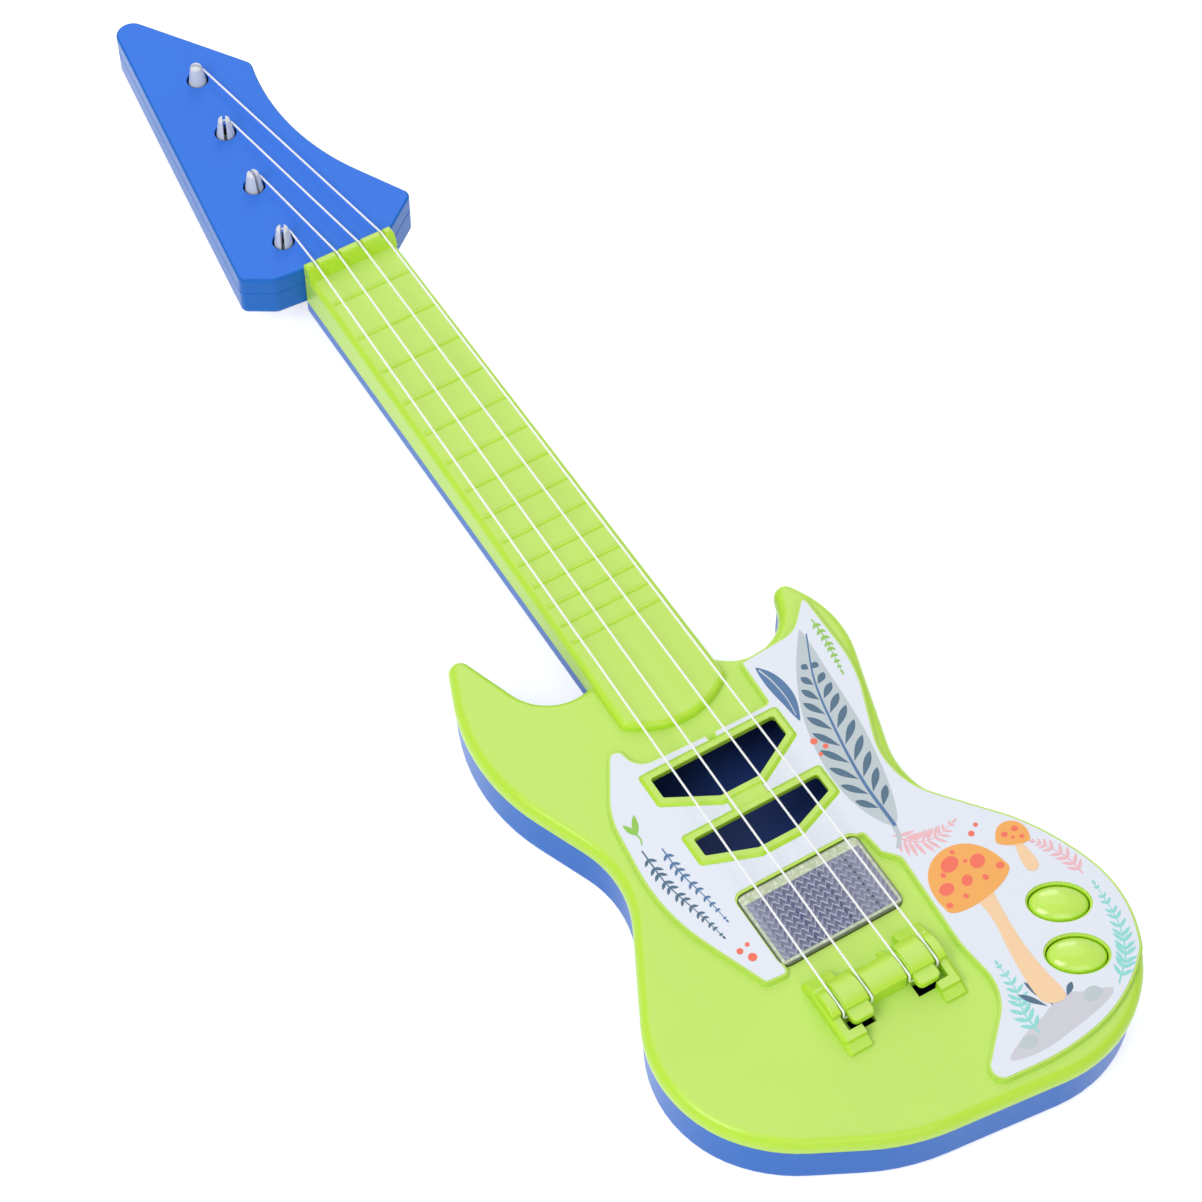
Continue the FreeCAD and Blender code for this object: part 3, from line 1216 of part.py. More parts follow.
def battery_springs():
    """Coiled negative contacts, wound as a tapering helix."""
    springs = []
    for y, direction in cell_rows():
        start = cell_start(direction) - direction * SPRING_LENGTH
        pitch = (SPRING_LENGTH - 2 * SPRING_WIRE - SPRING_PLAY) / SPRING_TURNS
        height = pitch * SPRING_TURNS
        slope = -math.degrees(math.atan((SPRING_RADIUS - SPRING_TIP_RADIUS) / height))
        helix = Part.makeHelix(pitch, height, SPRING_RADIUS, slope)
        coil = swept(Part.Wire(helix.Edges), SPRING_WIRE)
        coil.rotate(V(0, 0, 0), V(0, 1, 0), 90 * direction)
        coil.translate(V(start + direction * (SPRING_WIRE + 0.03), y, cell_height()))
        springs.append(coil)
    return Part.makeCompound(springs)


def battery_plates():
    """Flat contact plates at both ends of every cell."""
    x0, x1, _, _ = box_limits()
    half = CONTACT_SIDE / 2
    z = cell_height()
    plates = []
    for y, _ in cell_rows():
        for low in (x0, x1 - CONTACT_THICK):
            plates.append(box(low + 0.02, low + CONTACT_THICK - 0.02, y - half, y + half, z - half, z + half))
    return Part.makeCompound(plates)


def battery_door():
    """Flush cover with finger ribs, a screw lug and two hooks."""
    door = fuse([door_plan(0.0)] + door_hooks(0.0))
    x, y = door_screw_at()
    bore = SCREW_RADIUS + SCREW_CLEARANCE
    sink = Part.makeCone(SCREW_HEAD_RADIUS + SCREW_FIT, bore, SCREW_HEAD / 2, V(x, y, 0))
    return door.cut([rod(x, y, -1, DOOR_THICK + 1, bore), sink])


# ---- screws ---------------------------------------------------------------------------------
def pan_screw(x, y, seat, length, upward):
    """Self-tapping screw whose head bears on z = seat; upward is the way it points."""
    way = 1 if upward else -1
    shank = Part.makeCylinder(SCREW_RADIUS, length, V(x, y, seat - way * 0.1), V(0, 0, way))
    head = Part.makeCylinder(SCREW_HEAD_RADIUS, SCREW_HEAD, V(x, y, seat - way * SCREW_HEAD), V(0, 0, way))
    outer = seat - way * SCREW_HEAD
    head = head.makeFillet(0.7, [edge for edge in head.Edges if lies_at(edge, outer)])
    screw = head.fuse(shank)
    slot_low, slot_high = sorted((outer - way, outer + way * SCREW_HEAD / 2))
    reach = SCREW_HEAD_RADIUS * SLOT_SHARE
    cuts = [box(x - a, x + a, y - b, y + b, slot_low, slot_high)
            for a, b in ((reach, SLOT_WIDTH / 2), (SLOT_WIDTH / 2, reach))]
    return screw.cut(cuts)


def case_screws():
    """Screws that close the body."""
    seat = SEAM_Z - BOSS_SEAT - WALL
    return Part.makeCompound([pan_screw(x, y, seat, CASE_SCREW_LENGTH, True) for x, y in CASE_SCREWS])


def headstock_screws():
    """Screws that close the headstock."""
    seat = HEAD_SEAM_Z - BOSS_SEAT
    return Part.makeCompound([pan_screw(x, y, seat, HEAD_SCREW_LENGTH, True) for x, y in HEAD_SCREWS])


def board_screws():
    """Screws that hold both circuit boards."""
    under = MAIN_BOARD_TOP - BOARD_THICK
    screws = [pan_screw(side * MAIN_SCREW_X, MAIN_SCREW_Y, under, BOARD_SCREW_LENGTH, True)
              for side in (-1, 1)]
    top = button_board_low() + BOARD_THICK
    screws += [pan_screw(at.x, at.y, top, BOARD_SCREW_LENGTH, False) for at in button_board_posts()]
    return Part.makeCompound(screws)


def battery_door_screw():
    """Countersunk screw of the battery door."""
    x, y = door_screw_at()
    head = Part.makeCone(SCREW_HEAD_RADIUS, SCREW_RADIUS, SCREW_HEAD / 2, V(x, y, 0))
    shank = rod(x, y, SCREW_HEAD / 2 - 0.1, DOOR_SCREW_LENGTH, SCREW_RADIUS)
    reach = SCREW_HEAD_RADIUS * SLOT_SHARE
    cuts = [box(x - a, x + a, y - b, y + b, -1, SCREW_HEAD / 4)
            for a, b in ((reach, SLOT_WIDTH / 2), (SLOT_WIDTH / 2, reach))]
    return head.fuse(shank).cut(cuts)


# ---- pegs and strings -----------------------------------------------------------------------
def tuning_peg(index):
    """Split tapered post, shaft, snap collar and fluted knob in one piece."""
    x, y = peg_centres()[index]
    knob_top = HEAD_BACK_Z - KNOB_GAP
    knob_low = knob_top - KNOB_LENGTH
    tip = HEAD_Z + PEG_RISE
    collar = SLEEVE_TOP + PEG_COLLAR_GAP
    r_collar = PEG_RADIUS + PEG_COLLAR
    round_top = PEG_TIP_RADIUS * PEG_CROWN
    bulge_x, bulge_z = PEG_TIP_RADIUS * PEG_BULGE[0], tip - round_top * PEG_BULGE[1]
    edges = [
        Part.makeLine(V(0, 0, tip), V(0, 0, knob_low)),
        Part.makeLine(V(0, 0, knob_low), V(KNOB_RADIUS, 0, knob_low)),
        Part.makeLine(V(KNOB_RADIUS, 0, knob_low), V(KNOB_RADIUS, 0, knob_top)),
        Part.makeLine(V(KNOB_RADIUS, 0, knob_top), V(PEG_RADIUS, 0, knob_top)),
        Part.makeLine(V(PEG_RADIUS, 0, knob_top), V(PEG_RADIUS, 0, collar)),
        Part.makeLine(V(PEG_RADIUS, 0, collar), V(r_collar, 0, collar)),
        Part.makeLine(V(r_collar, 0, collar), V(PEG_RADIUS, 0, collar + PEG_COLLAR_LENGTH)),
        Part.makeLine(V(PEG_RADIUS, 0, collar + PEG_COLLAR_LENGTH), V(PEG_RADIUS, 0, HEAD_Z - 1)),
        Part.makeLine(V(PEG_RADIUS, 0, HEAD_Z - 1), V(PEG_TIP_RADIUS, 0, tip - round_top)),
        Part.Arc(V(PEG_TIP_RADIUS, 0, tip - round_top), V(bulge_x, 0, bulge_z), V(0, 0, tip)).toShape(),
    ]
    solid = Part.Face(Part.Wire(edges)).revolve(V(0, 0, 0), V(0, 0, 1), 360)
    solid = round_edges(solid, KNOB_EDGE,
                        lambda edge: lies_at(edge, knob_low) and edge.BoundBox.XLength > KNOB_RADIUS)
    cuts = [box(-KNOB_RADIUS, KNOB_RADIUS, -PEG_SLOT / 2, PEG_SLOT / 2, HEAD_Z - PEG_SLOT_DEPTH, tip + 1)]
    for k in range(KNOB_FLUTES):
        angle = 2 * math.pi * k / KNOB_FLUTES
        reach = KNOB_RADIUS + KNOB_FLUTE_REACH
        cuts.append(rod(reach * math.cos(angle), reach * math.sin(angle), knob_low - 1, knob_top + 0.1,
                        KNOB_FLUTE_RADIUS))
    solid = solid.cut(cuts)
    solid.rotate(V(0, 0, 0), V(0, 0, 1), PEG_SLOT_ANGLES[index])
    solid.translate(V(x, y, 0))
    return solid


def string_height():
    """Height of a string's centre over nut and peg."""
    return NUT_Z - NUT_NOTCH + STRING_RADIUS + STRING_GAP


def peg_wrap_radius():
    """Radius of a string's centre line round a post."""
    share = (string_height() - STRING_RADIUS - HEAD_Z + 1) / (PEG_RISE + 1)
    post = PEG_RADIUS + share * (PEG_TIP_RADIUS - PEG_RADIUS)
    return post + STRING_RADIUS + STRING_GAP


def peg_wrap(index):
    """Arc of a string behind its post and the point where it leaves, both at string height."""
    z = string_height()
    centre = V(*peg_centres()[index], z)
    nut = V(string_x_at_nut()[index], NUT_Y, z)
    gap = nut - centre
    radius = peg_wrap_radius()
    leave = math.atan2(gap.y, gap.x) + math.acos(radius / gap.Length)
    points = []
    for turn in (math.radians(STRING_WRAP), math.radians(STRING_WRAP / 2), 0.0):
        points.append(centre + V(math.cos(leave + turn), math.sin(leave + turn), 0) * radius)
    return points


def run_points(index):
    """Corners of one string's run from nut to below the hook."""
    z_bar = SADDLE_Z - GROOVE_DEPTH + STRING_RADIUS + STRING_GAP
    x_nut, x_bar = string_x_at_nut()[index], string_x_at_saddle()[index]
    back = BAR_BACK_Y - STRING_RADIUS - STRING_GAP
    z_hook = HOOK_TOP_Z - HOOK_THICK - STRING_RADIUS - STRING_GAP
    return [V(x_nut, NUT_Y - NUT_DEPTH / 2, string_height()), V(x_bar, SADDLE_Y, z_bar),
            V(x_bar, back, z_bar), V(x_bar, back, z_hook)]


def string_pair(first):
    """One length of nylon: peg, nut, saddle, round a hook and back to the next peg."""
    going, coming = first, first + 1
    there, back = peg_wrap(going), peg_wrap(coming)
    points = [there[2]] + run_points(going) + run_points(coming)[::-1] + [back[2]]
    radii = [0, 3.0, 3.0, 0.9, 1.0, 1.0, 0.9, 3.0, 3.0, 0]
    middle = rounded_path(points, radii, False)
    start = Part.Arc(there[0], there[1], there[2]).toShape()
    end = Part.Arc(back[2], back[1], back[0]).toShape()
    return swept(Part.Wire([start] + middle.Edges + [end]), STRING_RADIUS)


# ---- wires ----------------------------------------------------------------------------------
def wire(points):
    """Insulated lead along hand-laid points."""
    path = [V(*point) for point in points]
    return swept(rounded_path(path, [WIRE_BEND] * len(path), False), WIRE_RADIUS)


def battery_wires():
    """Two leads from the battery box to the main board."""
    x0 = box_limits()[1] + BOX_WALL + WIRE_RADIUS + WIRE_GAP
    y0 = box_limits()[3] - WIRE_BEND
    high = MAIN_BOARD_TOP - BOARD_THICK - WIRE_RADIUS - WIRE_GAP
    edge = MAIN_BOARD[2]
    leads = []
    for k in range(2):
        step = k * WIRE_PITCH
        lane = x0 + WIRE_PITCH + step
        leads.append(wire([(x0, y0 - WIRE_BEND - 2 * step, WIRE_LOW + WIRE_PITCH),
                           (lane, y0 - step, WIRE_LOW), (lane, edge + 2 * step, WIRE_LOW),
                           (x0 + step, edge + 2 * WIRE_BEND + 2 * step, high)]))
    return Part.makeCompound(leads)


def speaker_wires():
    """Two leads from the main board, over the speaker's ring wall, to its terminals."""
    high = MAIN_BOARD_TOP - BOARD_THICK - WIRE_RADIUS - WIRE_GAP
    board_x, board_y = MAIN_BOARD[0] + 2 * WIRE_BEND, MAIN_BOARD[3] - WIRE_BEND
    ring_y = SPEAKER_AT[1] - SPEAKER_RADIUS - SPEAKER_CLEARANCE - SPEAKER_RING_WALL
    over_z = WALL + SPEAKER_RING_RISE + WIRE_PITCH
    end_y = SPEAKER_AT[1] - MAGNET_RADIUS - WIRE_PITCH
    end_z = WALL + SPEAKER_FRONT + SPEAKER_BASKET + WIRE_PITCH
    leads = []
    for k in range(2):
        step = k * WIRE_PITCH
        lane = SPEAKER_AT[0] + step
        leads.append(wire([(board_x, board_y + step, high),
                           (lane, board_y + 2 * WIRE_BEND + step / 2, WIRE_LOW),
                           (lane, ring_y - 3 * WIRE_BEND, WIRE_LOW), (lane, ring_y, over_z),
                           (lane + WIRE_PITCH, end_y - step / 2, end_z)]))
    return Part.makeCompound(leads)


def button_wires():
    """Three leads from the main board to the button board."""
    high = MAIN_BOARD_TOP - BOARD_THICK - WIRE_RADIUS - WIRE_GAP
    low = button_board_low() - WIRE_RADIUS - WIRE_GAP
    start = V(MAIN_BOARD[1] - WIRE_BEND, MAIN_BOARD[3] - WIRE_RADIUS, high)
    post = button_board_posts()[1]
    leads = []
    for k in range(3):
        lane = V(-1.0, -1.0, 0) * (k * WIRE_SIDE_STEP)
        turn = V(start.x + 4 * WIRE_BEND, start.y - 3 * WIRE_BEND, WIRE_LOW)
        near = V(post.x - 3 * WIRE_BEND, post.y + 2 * WIRE_BEND, WIRE_LOW)
        end = V(post.x - 2 * WIRE_BEND, post.y - 2 * WIRE_BEND, low)
        leads.append(wire([start + lane, turn + lane, near + lane, end + lane]))
    return Part.makeCompound(leads)


# ---- everything -----------------------------------------------------------------------------
def build_parts():
    """Node name to shape for the whole toy."""
    nodes = {
        "front_shell": front_shell(), "back_shell": back_shell(), "headstock_cover": headstock_cover(),
        "printed_sticker": printed_sticker(), "light_window": light_window(),
        "main_board": main_board(), "button_board": button_board(),
        "sound_chip": sound_chip(), "leds": leds(),
        "speaker_basket": speaker_basket(), "speaker_cone": speaker_cone(),
        "speaker_magnet": speaker_magnet(), "battery_cells": battery_cells(),
        "battery_springs": battery_springs(), "battery_plates": battery_plates(),
        "battery_door": battery_door(), "battery_door_screw": battery_door_screw(),
        "case_screws": case_screws(), "headstock_screws": headstock_screws(), "board_screws": board_screws(),
        "low_string_pair": string_pair(0), "high_string_pair": string_pair(2),
        "battery_wires": battery_wires(), "speaker_wires": speaker_wires(), "button_wires": button_wires(),
    }
    for name, centre in button_centres().items():
        nodes[name + "_button"] = play_button(centre)
        nodes[name + "_switch"] = switch_housing(centre)
        nodes[name + "_switch_plunger"] = switch_plunger(centre)
    for index in range(4):
        nodes["tuning_peg_%d" % (index + 1)] = tuning_peg(index)
    return nodes


def main():
    """Write one STEP file for every node."""
    os.makedirs("parts", exist_ok=True)
    for name, shape in build_parts().items():
        shape.exportStep(os.path.join("parts", name + ".step"))


main()
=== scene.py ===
"""Looks of the four-string toy guitar: moulded plastics, printed film, light window and studio."""

import logging
import math
from dataclasses import dataclass, field
from enum import Enum

import bpy
import numpy as np
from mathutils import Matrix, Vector


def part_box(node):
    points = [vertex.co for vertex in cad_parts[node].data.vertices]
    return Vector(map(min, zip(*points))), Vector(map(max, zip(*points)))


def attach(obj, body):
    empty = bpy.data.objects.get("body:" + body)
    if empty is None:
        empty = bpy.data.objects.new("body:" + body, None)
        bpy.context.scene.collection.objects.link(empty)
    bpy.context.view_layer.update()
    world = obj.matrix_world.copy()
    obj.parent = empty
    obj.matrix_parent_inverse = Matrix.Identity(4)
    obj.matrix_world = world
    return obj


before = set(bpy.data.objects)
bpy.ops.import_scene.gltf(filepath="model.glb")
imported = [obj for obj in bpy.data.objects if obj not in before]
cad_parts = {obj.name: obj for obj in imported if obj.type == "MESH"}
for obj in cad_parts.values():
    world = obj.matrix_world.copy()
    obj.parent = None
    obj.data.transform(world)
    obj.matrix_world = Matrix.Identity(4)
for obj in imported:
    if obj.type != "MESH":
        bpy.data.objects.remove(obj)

LOG = logging.getLogger("toy_guitar")
TOY_BODY = "toy_body"
MM = 0.001
SMOOTH = {"interpolation_type": "SMOOTHSTEP"}

# shapes of the printed plants
OVAL_STEPS = 28
LEAF_FULLNESS = 0.82         # power of the leaf profile: under 1 makes the sides fuller
LEAFLET_SPAN = (0.1, 0.95)   # shares of a stem that carry leaflets
LEAFLET_SINE = (0.2, 0.76)   # where on the sine the lowest leaflet starts, and how far it runs
LEAFLET_FULLNESS = 0.6       # power of the sine
LEAFLET_TAPER = 0.45         # length lost from foot to tip
LEAFLET_LEAST = 0.35         # share of the width that even a short leaflet keeps
STEM_TAPER = 0.4             # width of a stem's tip over that of its foot
TIP_LEAF = (0.4, 0.6)        # length and width of the last leaf, as shares of the longest's
VEIN_SPAN = (0.1, 0.88)
VEIN_SLANT = 40.0
VEIN_BELLY = 0.42
VEIN_LOOK_AHEAD = 0.09       # a vein ends this share of the leaf further on than it starts
VEIN_FILL = 0.86
VEIN_START_MM = 0.9
VEIN_LEAST_MM = 1.7
CAP_STEPS = 36
CAP_CROWN = 0.8
CAP_RIM_SHARE = 0.26         # depth of a cap's lower edge over the height of its crown
SPOT_TURN = 12.0             # each spot of a cap is turned this much more than the last

Socket = bpy.types.NodeSocket
Feed = float | tuple | str | int | bpy.types.Node | Socket
Outline = np.ndarray


# ---- small shared tools ---------------------------------------------------------------------
def linear(hex_colour: str, alpha: float = 1.0) -> tuple[float, float, float, float]:
    """Turn an sRGB hex colour into linear values.

    Args:
        hex_colour: colour as "#RRGGBB".
        alpha: fourth value of the result.

    Returns:
        Red, green, blue and alpha.
    """
    channels = [int(hex_colour[i : i + 2], 16) / 255 for i in (1, 3, 5)]
    curve = [c / 12.92 if c <= 0.04045 else ((c + 0.055) / 1.055) ** 2.4 for c in channels]
    return (curve[0], curve[1], curve[2], alpha)


def give(node: bpy.types.Node, *values: Feed, **named: Feed) -> None:
    """Set or link inputs of a node.

    Args:
        node: node that takes them.
        values: one for each live input in order; a number or colour is set, a node or socket is linked.
        named: the same by input name, with underscores for spaces.
    """
    live = [entry for entry in node.inputs if entry.enabled]
    called = [(node.inputs[name.replace("_", " ")], value) for name, value in named.items()]
    for entry, value in [*zip(live, values), *called]:
        if isinstance(value, bpy.types.Node):
            value = next(outlet for outlet in value.outputs if outlet.enabled)
        if isinstance(value, Socket):
            node.id_data.links.new(value, entry)
        else:
            entry.default_value = value


def add(tree: bpy.types.NodeTree, kind: str, *values: Feed, **named: Feed) -> bpy.types.Node:
    """Add a node with its settings, values and links.

    Args:
        tree: node tree that takes the node.
        kind: last part of the node's type, such as "Math".
        values: live inputs in order.
        named: settings in small letters, and inputs by name with a capital.

    Returns:
        The new node.
    """
    made = tree.nodes.new("ShaderNode" + kind)
    for name in [name for name in named if name.islower()]:
        setattr(made, name, named.pop(name))
    give(made, *values, **named)
    return made


def assign(piece: bpy.types.Object, material: bpy.types.Material) -> None:
    """Put one material on every face of a piece."""
    piece.data.materials.clear()
    piece.data.materials.append(material)


def mesh_piece(name: str, points: np.ndarray, faces: list) -> bpy.types.Object:
    """Make an object at the origin from points in millimetres.

    Args:
        name: object name.
        points: N x 3 array.
        faces: lists of point numbers.

    Returns:
        The new object.
    """
    mesh = bpy.data.meshes.new(name)
    mesh.from_pydata((points * MM).tolist(), [], faces)
    mesh.update()
    piece = bpy.data.objects.new(name, mesh)
    bpy.context.scene.collection.objects.link(piece)
    return piece


class Sheet:
    """A material being made: its tree, its shader and its place in millimetres."""

    def __init__(self, name: str) -> None:
        """Start a node material of that name.

        Args:
            name: material name.
        """
        self.material = bpy.data.materials.new(name)
        self.material.use_nodes = True
        self.tree = self.material.node_tree
        self.shader = next(n for n in self.tree.nodes if n.type == "BSDF_PRINCIPLED")
        place = self.add("TexCoord").outputs["Object"]
        self.mm = self.add("VectorMath", place, 1 / MM, operation="SCALE")

    def add(self, kind: str, *values: Feed, **named: Feed) -> bpy.types.Node:
        """Add a node to this material."""
        return add(self.tree, kind, *values, **named)

    def finish(self, **named: Feed) -> bpy.types.Material:
        """Give the shader its inputs and hand the material over."""
        give(self.shader, **named)
        return self.material


# ---- finishes -------------------------------------------------------------------------------
@dataclass(frozen=True)
class MouldedAbs:
    """Injection-moulded ABS: even colour, soft sheen, a fine mould grain and slightly rounded edges.

    Faces that lie flat come off a finely blasted mould wall, so they scatter more and look paler
    than the polished rims and sides; the paler tint of level faces is partly that finish and partly
    painted sheen. The inside of the case has painted shade: deep navy, near black on its higher faces.
    """

    name: str
    rim_hex: str
    face_frost_and_sheen_hex: str
    rim_roughness: float = 0.24
    face_roughness: float = 0.42
    flat_rise: tuple = (0.90, 0.995)     # upright part of the normal where a face turns flat
    grain_mm: float = 0.35
    grain_haze: float = 0.10
    grain_relief_mm: float = 0.02
    grain_bump: float = 0.12
    cloud_mm: float = 33.0
    cloud_range: tuple = (0.3, 0.7)
    cloud_change: float = 0.015
    edge_mm: float = 0.22
    scatter: float = 0.08
    scatter_mm: float = 1.2
    gloss: float = 0.5
    coat: float = 0.0
    coat_roughness: float = 0.06
    # painted shade inside the case: its colour, the height it reaches and how dark it gets higher up
    inside_shade_hex: str = ""
    inside_shade_top_mm: float = 15.0
    inside_shade_rise: float = 0.5               # faces of the inside that look up at least this much take the painted shade
    gloom_mm: tuple = (8.0, 13.0)        # heights between which the painted shade inside goes from navy to near black
    gloom_least: float = 0.1

    def build(self) -> bpy.types.Material:
        """Make the node material.

        Returns:
            The material.
        """
        sheet = Sheet(self.name)
        add = sheet.add
        rise = add("SeparateXYZ", add("NewGeometry").outputs["Normal"]).outputs["Z"]
        flat = add("MapRange", rise, *self.flat_rise)
        # level faces take a paler tint than rims and sides: partly the frosted finish, partly painted sheen
        frost_and_sheen_tint = add("Mix", flat, linear(self.rim_hex), linear(self.face_frost_and_sheen_hex), data_type="RGBA")
        pale, deep = 1 + self.cloud_change, 1 - self.cloud_change
        noise = add("TexNoise", sheet.mm, 1 / self.cloud_mm)
        cloud = add("MapRange", noise, *self.cloud_range, deep, pale)
        colour = add("VectorMath", frost_and_sheen_tint, cloud, operation="SCALE")
        # painted shade on the inside faces that look up, darker on higher faces
        if self.inside_shade_hex:
            height = add("SeparateXYZ", sheet.mm).outputs["Z"]
            below = add("Math", height, self.inside_shade_top_mm, operation="LESS_THAN")
            facing_up = add("Math", rise, self.inside_shade_rise, operation="GREATER_THAN")
            inside_shade_mask = add("Math", below, facing_up, operation="MULTIPLY")
            gloom = add("MapRange", height, *self.gloom_mm, 1.0, self.gloom_least)
            inner = add("VectorMath", linear(self.inside_shade_hex)[:3], gloom, operation="SCALE")
            colour = add("Mix", inside_shade_mask, colour, inner, data_type="RGBA")
        grain = add("TexNoise", sheet.mm, 1 / self.grain_mm, 3.0)
        rough = add("MapRange", flat, 0.0, 1.0, self.rim_roughness, self.face_roughness)
        soft = add("Bevel", self.edge_mm * MM, samples=6)
        relief = self.grain_relief_mm * MM
        return sheet.finish(
            Base_Color=colour,
            Roughness=add("Math", grain, self.grain_haze, rough, operation="MULTIPLY_ADD"),
            Normal=add("Bump", Strength=self.grain_bump, Distance=relief, Height=grain, Normal=soft),
            IOR=1.53,
            Specular_IOR_Level=self.gloss,
            Coat_Weight=self.coat,
            Coat_Roughness=self.coat_roughness,
            Subsurface_Weight=self.scatter,
            Subsurface_Radius=(0.6, 0.6, 0.5),
            Subsurface_Scale=self.scatter_mm * MM,
        )


@dataclass(frozen=True)
class PlainFinish:
    """One stock material in one colour with a fine surface grain."""

    name: str
    hex_colour: str
    roughness: float
    metallic: float = 0.0
    ior: float = 1.5
    coat: float = 0.0
    grain_mm: float = 0.5
    variation: float = 0.04
    relief_mm: float = 0.01
    relief_bump: float = 0.2
    grain_range: tuple = (0.25, 0.75)
    haze: float = 0.12                   # roughness gained from the grain's hollows to its tops
    scatter: float = 0.0

    def build(self) -> bpy.types.Material:
        """Make the node material.

        Returns:
            The material.
        """
        sheet = Sheet(self.name)
        add = sheet.add
        grain = add("TexNoise", sheet.mm, 1 / self.grain_mm)
        shade = add("MapRange", grain, *self.grain_range, 1 - self.variation, 1 + self.variation)
        least = self.roughness - self.haze / 2
        stock = {} if self.metallic else {"IOR": self.ior}
        return sheet.finish(
            Base_Color=add("VectorMath", linear(self.hex_colour)[:3], shade, operation="SCALE"),
            Roughness=add("Math", grain, self.haze, least, operation="MULTIPLY_ADD"),
            Normal=add("Bump", Strength=self.relief_bump, Distance=self.relief_mm * MM, Height=grain),
            Metallic=self.metallic,
            Coat_Weight=self.coat,
            Subsurface_Weight=self.scatter,
            Subsurface_Radius=(1.0, 1.0, 1.0),
            Subsurface_Scale=MM,
            **stock,
        )


@dataclass(frozen=True)
class PrismLens:
    """Clear polystyrene lens, smooth outside, with rows of moulded prisms behind its front face.

    Every row is a zigzag. Its crest has a painted highlight, brighter on one flank than on the other,
    and the hollows have painted shade, so the lens looks knitted. Dotted joints of the mould insert
    cross the rows. A frosted band is left along the upper edge, and the rounded border has painted
    shade where it turns away.
    """

    name: str = "prism_polystyrene"
    hollow_shade_hex: str = "#222A68"
    flank_shading_hex: str = "#5A6186"
    crest_highlight_hex: str = "#BFC4D6"
    haze_hex: str = "#9296AE"
    band_hex: str = "#B4C29A"
    frost_hex: str = "#DCE3CE"
    border_shade_hex: str = "#565D54"
    row_mm: float = 2.05
    wave_mm: float = 2.1
    swing_mm: float = 0.72
    joints_mm: tuple = (4.1, 11.7)
    joint_half_mm: float = 0.32
    joint_hex: str = "#14172A"
    band_mm: float = 3.2
    border_mm: float = 1.3
    clearance_mm: float = 0.15
    flange_mm: float = 2.0
    # uneven rows: a fine and a broad noise shift each row by part of a millimetre
    fine_mm: float = 0.7
    broad_mm: float = 2.2
    broad_share: float = 0.9
    wobble: float = 0.6
    # flanks and crests of the painted highlight and shade: shares of a wave or of a row at which each begins
    # and is full
    lit_wave: tuple = (0.2, 0.32)
    lit_gain: float = 0.4
    lit_least: float = 0.55
    ridge_row: tuple = (0.33, 0.46)
    slope_wave: tuple = (0.15, 0.4)
    flank_strength: float = 0.7
    # haze: milky patches, and milkier ends to the right and the left
    patch_mm: float = 8.0
    patch_range: tuple = (0.4, 0.7)
    patch_haze: float = 0.12
    right_mm: tuple = (-1.0, 15.0)
    right_haze: float = 0.42
    left_mm: tuple = (-11.5, -16.5)
    left_haze: float = 0.55
    # dotted joints
    dot_row: float = 0.32
    dot_strength: float = 0.85
    # painted shade on the border, and frosted band
    border_blur_mm: float = 0.2
    border_dark_mm: tuple = (0.85, 0.25)
    frost_mm: float = 0.9
    frost_range: tuple = (0.45, 0.7)
    relief_mm: float = 0.4
    relief_bump: float = 0.5
    lean_relief: float = 0.5             # height of the zigzag beside that of the rows

    def limits(self) -> tuple[float, float, float]:
        """Find the visible lens, inside its hidden flange.

        Returns:
            Half width, lower end and upper end in millimetres.
        """
        low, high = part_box("light_window")
        inset = self.flange_mm + self.clearance_mm
        return high[0] / MM - inset, low[1] / MM + inset, high[1] / MM - inset

    def knit(self, sheet: Sheet, x: Socket, y: Socket) -> tuple[bpy.types.Node, bpy.types.Node]:
        """Colour and height of the prism rows: painted highlight on the crests, painted shade in the hollows.

        A point's place in its row is y plus a zigzag of x, folded at half a row: 0 in the hollow
        and 0.5 on the crest.

        Args:
            sheet: material being made.
            x: place across the lens.
            y: place along the strings.

        Returns:
            Colour and height.
        """
        add = sheet.add
        wave, row = self.wave_mm, self.row_mm
        lean = add("Math", x, wave / 2, operation="PINGPONG")
        fine = add("TexNoise", sheet.mm, 1 / self.fine_mm, 1.0)
        broad = add("TexNoise", sheet.mm, 1 / self.broad_mm, 1.0)
        wobble = add("Math", broad, self.broad_share, fine, operation="MULTIPLY_ADD")
        bent = add("Math", wobble, self.wobble, y, operation="MULTIPLY_ADD")
        place = add("Math", lean, 4 * self.swing_mm / wave, bent, operation="MULTIPLY_ADD")
        tooth = add("Math", add("Math", place, row, operation="DIVIDE"), 0.5, operation="PINGPONG")
        quarter = add("Math", add("Math", x, wave / 4, operation="ADD"), wave / 2, operation="PINGPONG")
        # painted highlight on the crests, brighter on one flank of each wave
        rising = add("MapRange", quarter, self.lit_wave[0] * wave, self.lit_wave[1] * wave, **SMOOTH)
        crest_glint = add("Math", rising, self.lit_gain, self.lit_least, operation="MULTIPLY_ADD")
        ridge = add("MapRange", tooth, *self.ridge_row, **SMOOTH)
        crest = add("Math", ridge, crest_glint, operation="MULTIPLY")
        slope = add("MapRange", lean, self.slope_wave[0] * wave, self.slope_wave[1] * wave, **SMOOTH)
        flank = add("Math", slope, self.flank_strength, operation="MULTIPLY")
        patches = add("MapRange", add("TexNoise", sheet.mm, 1 / self.patch_mm), *self.patch_range, **SMOOTH)
        haze = add("Math", patches, self.patch_haze, operation="MULTIPLY")
        for span, strength in ((self.right_mm, self.right_haze), (self.left_mm, self.left_haze)):
            end = add("MapRange", x, *span, **SMOOTH)
            haze = add("Math", end, strength, haze, operation="MULTIPLY_ADD")
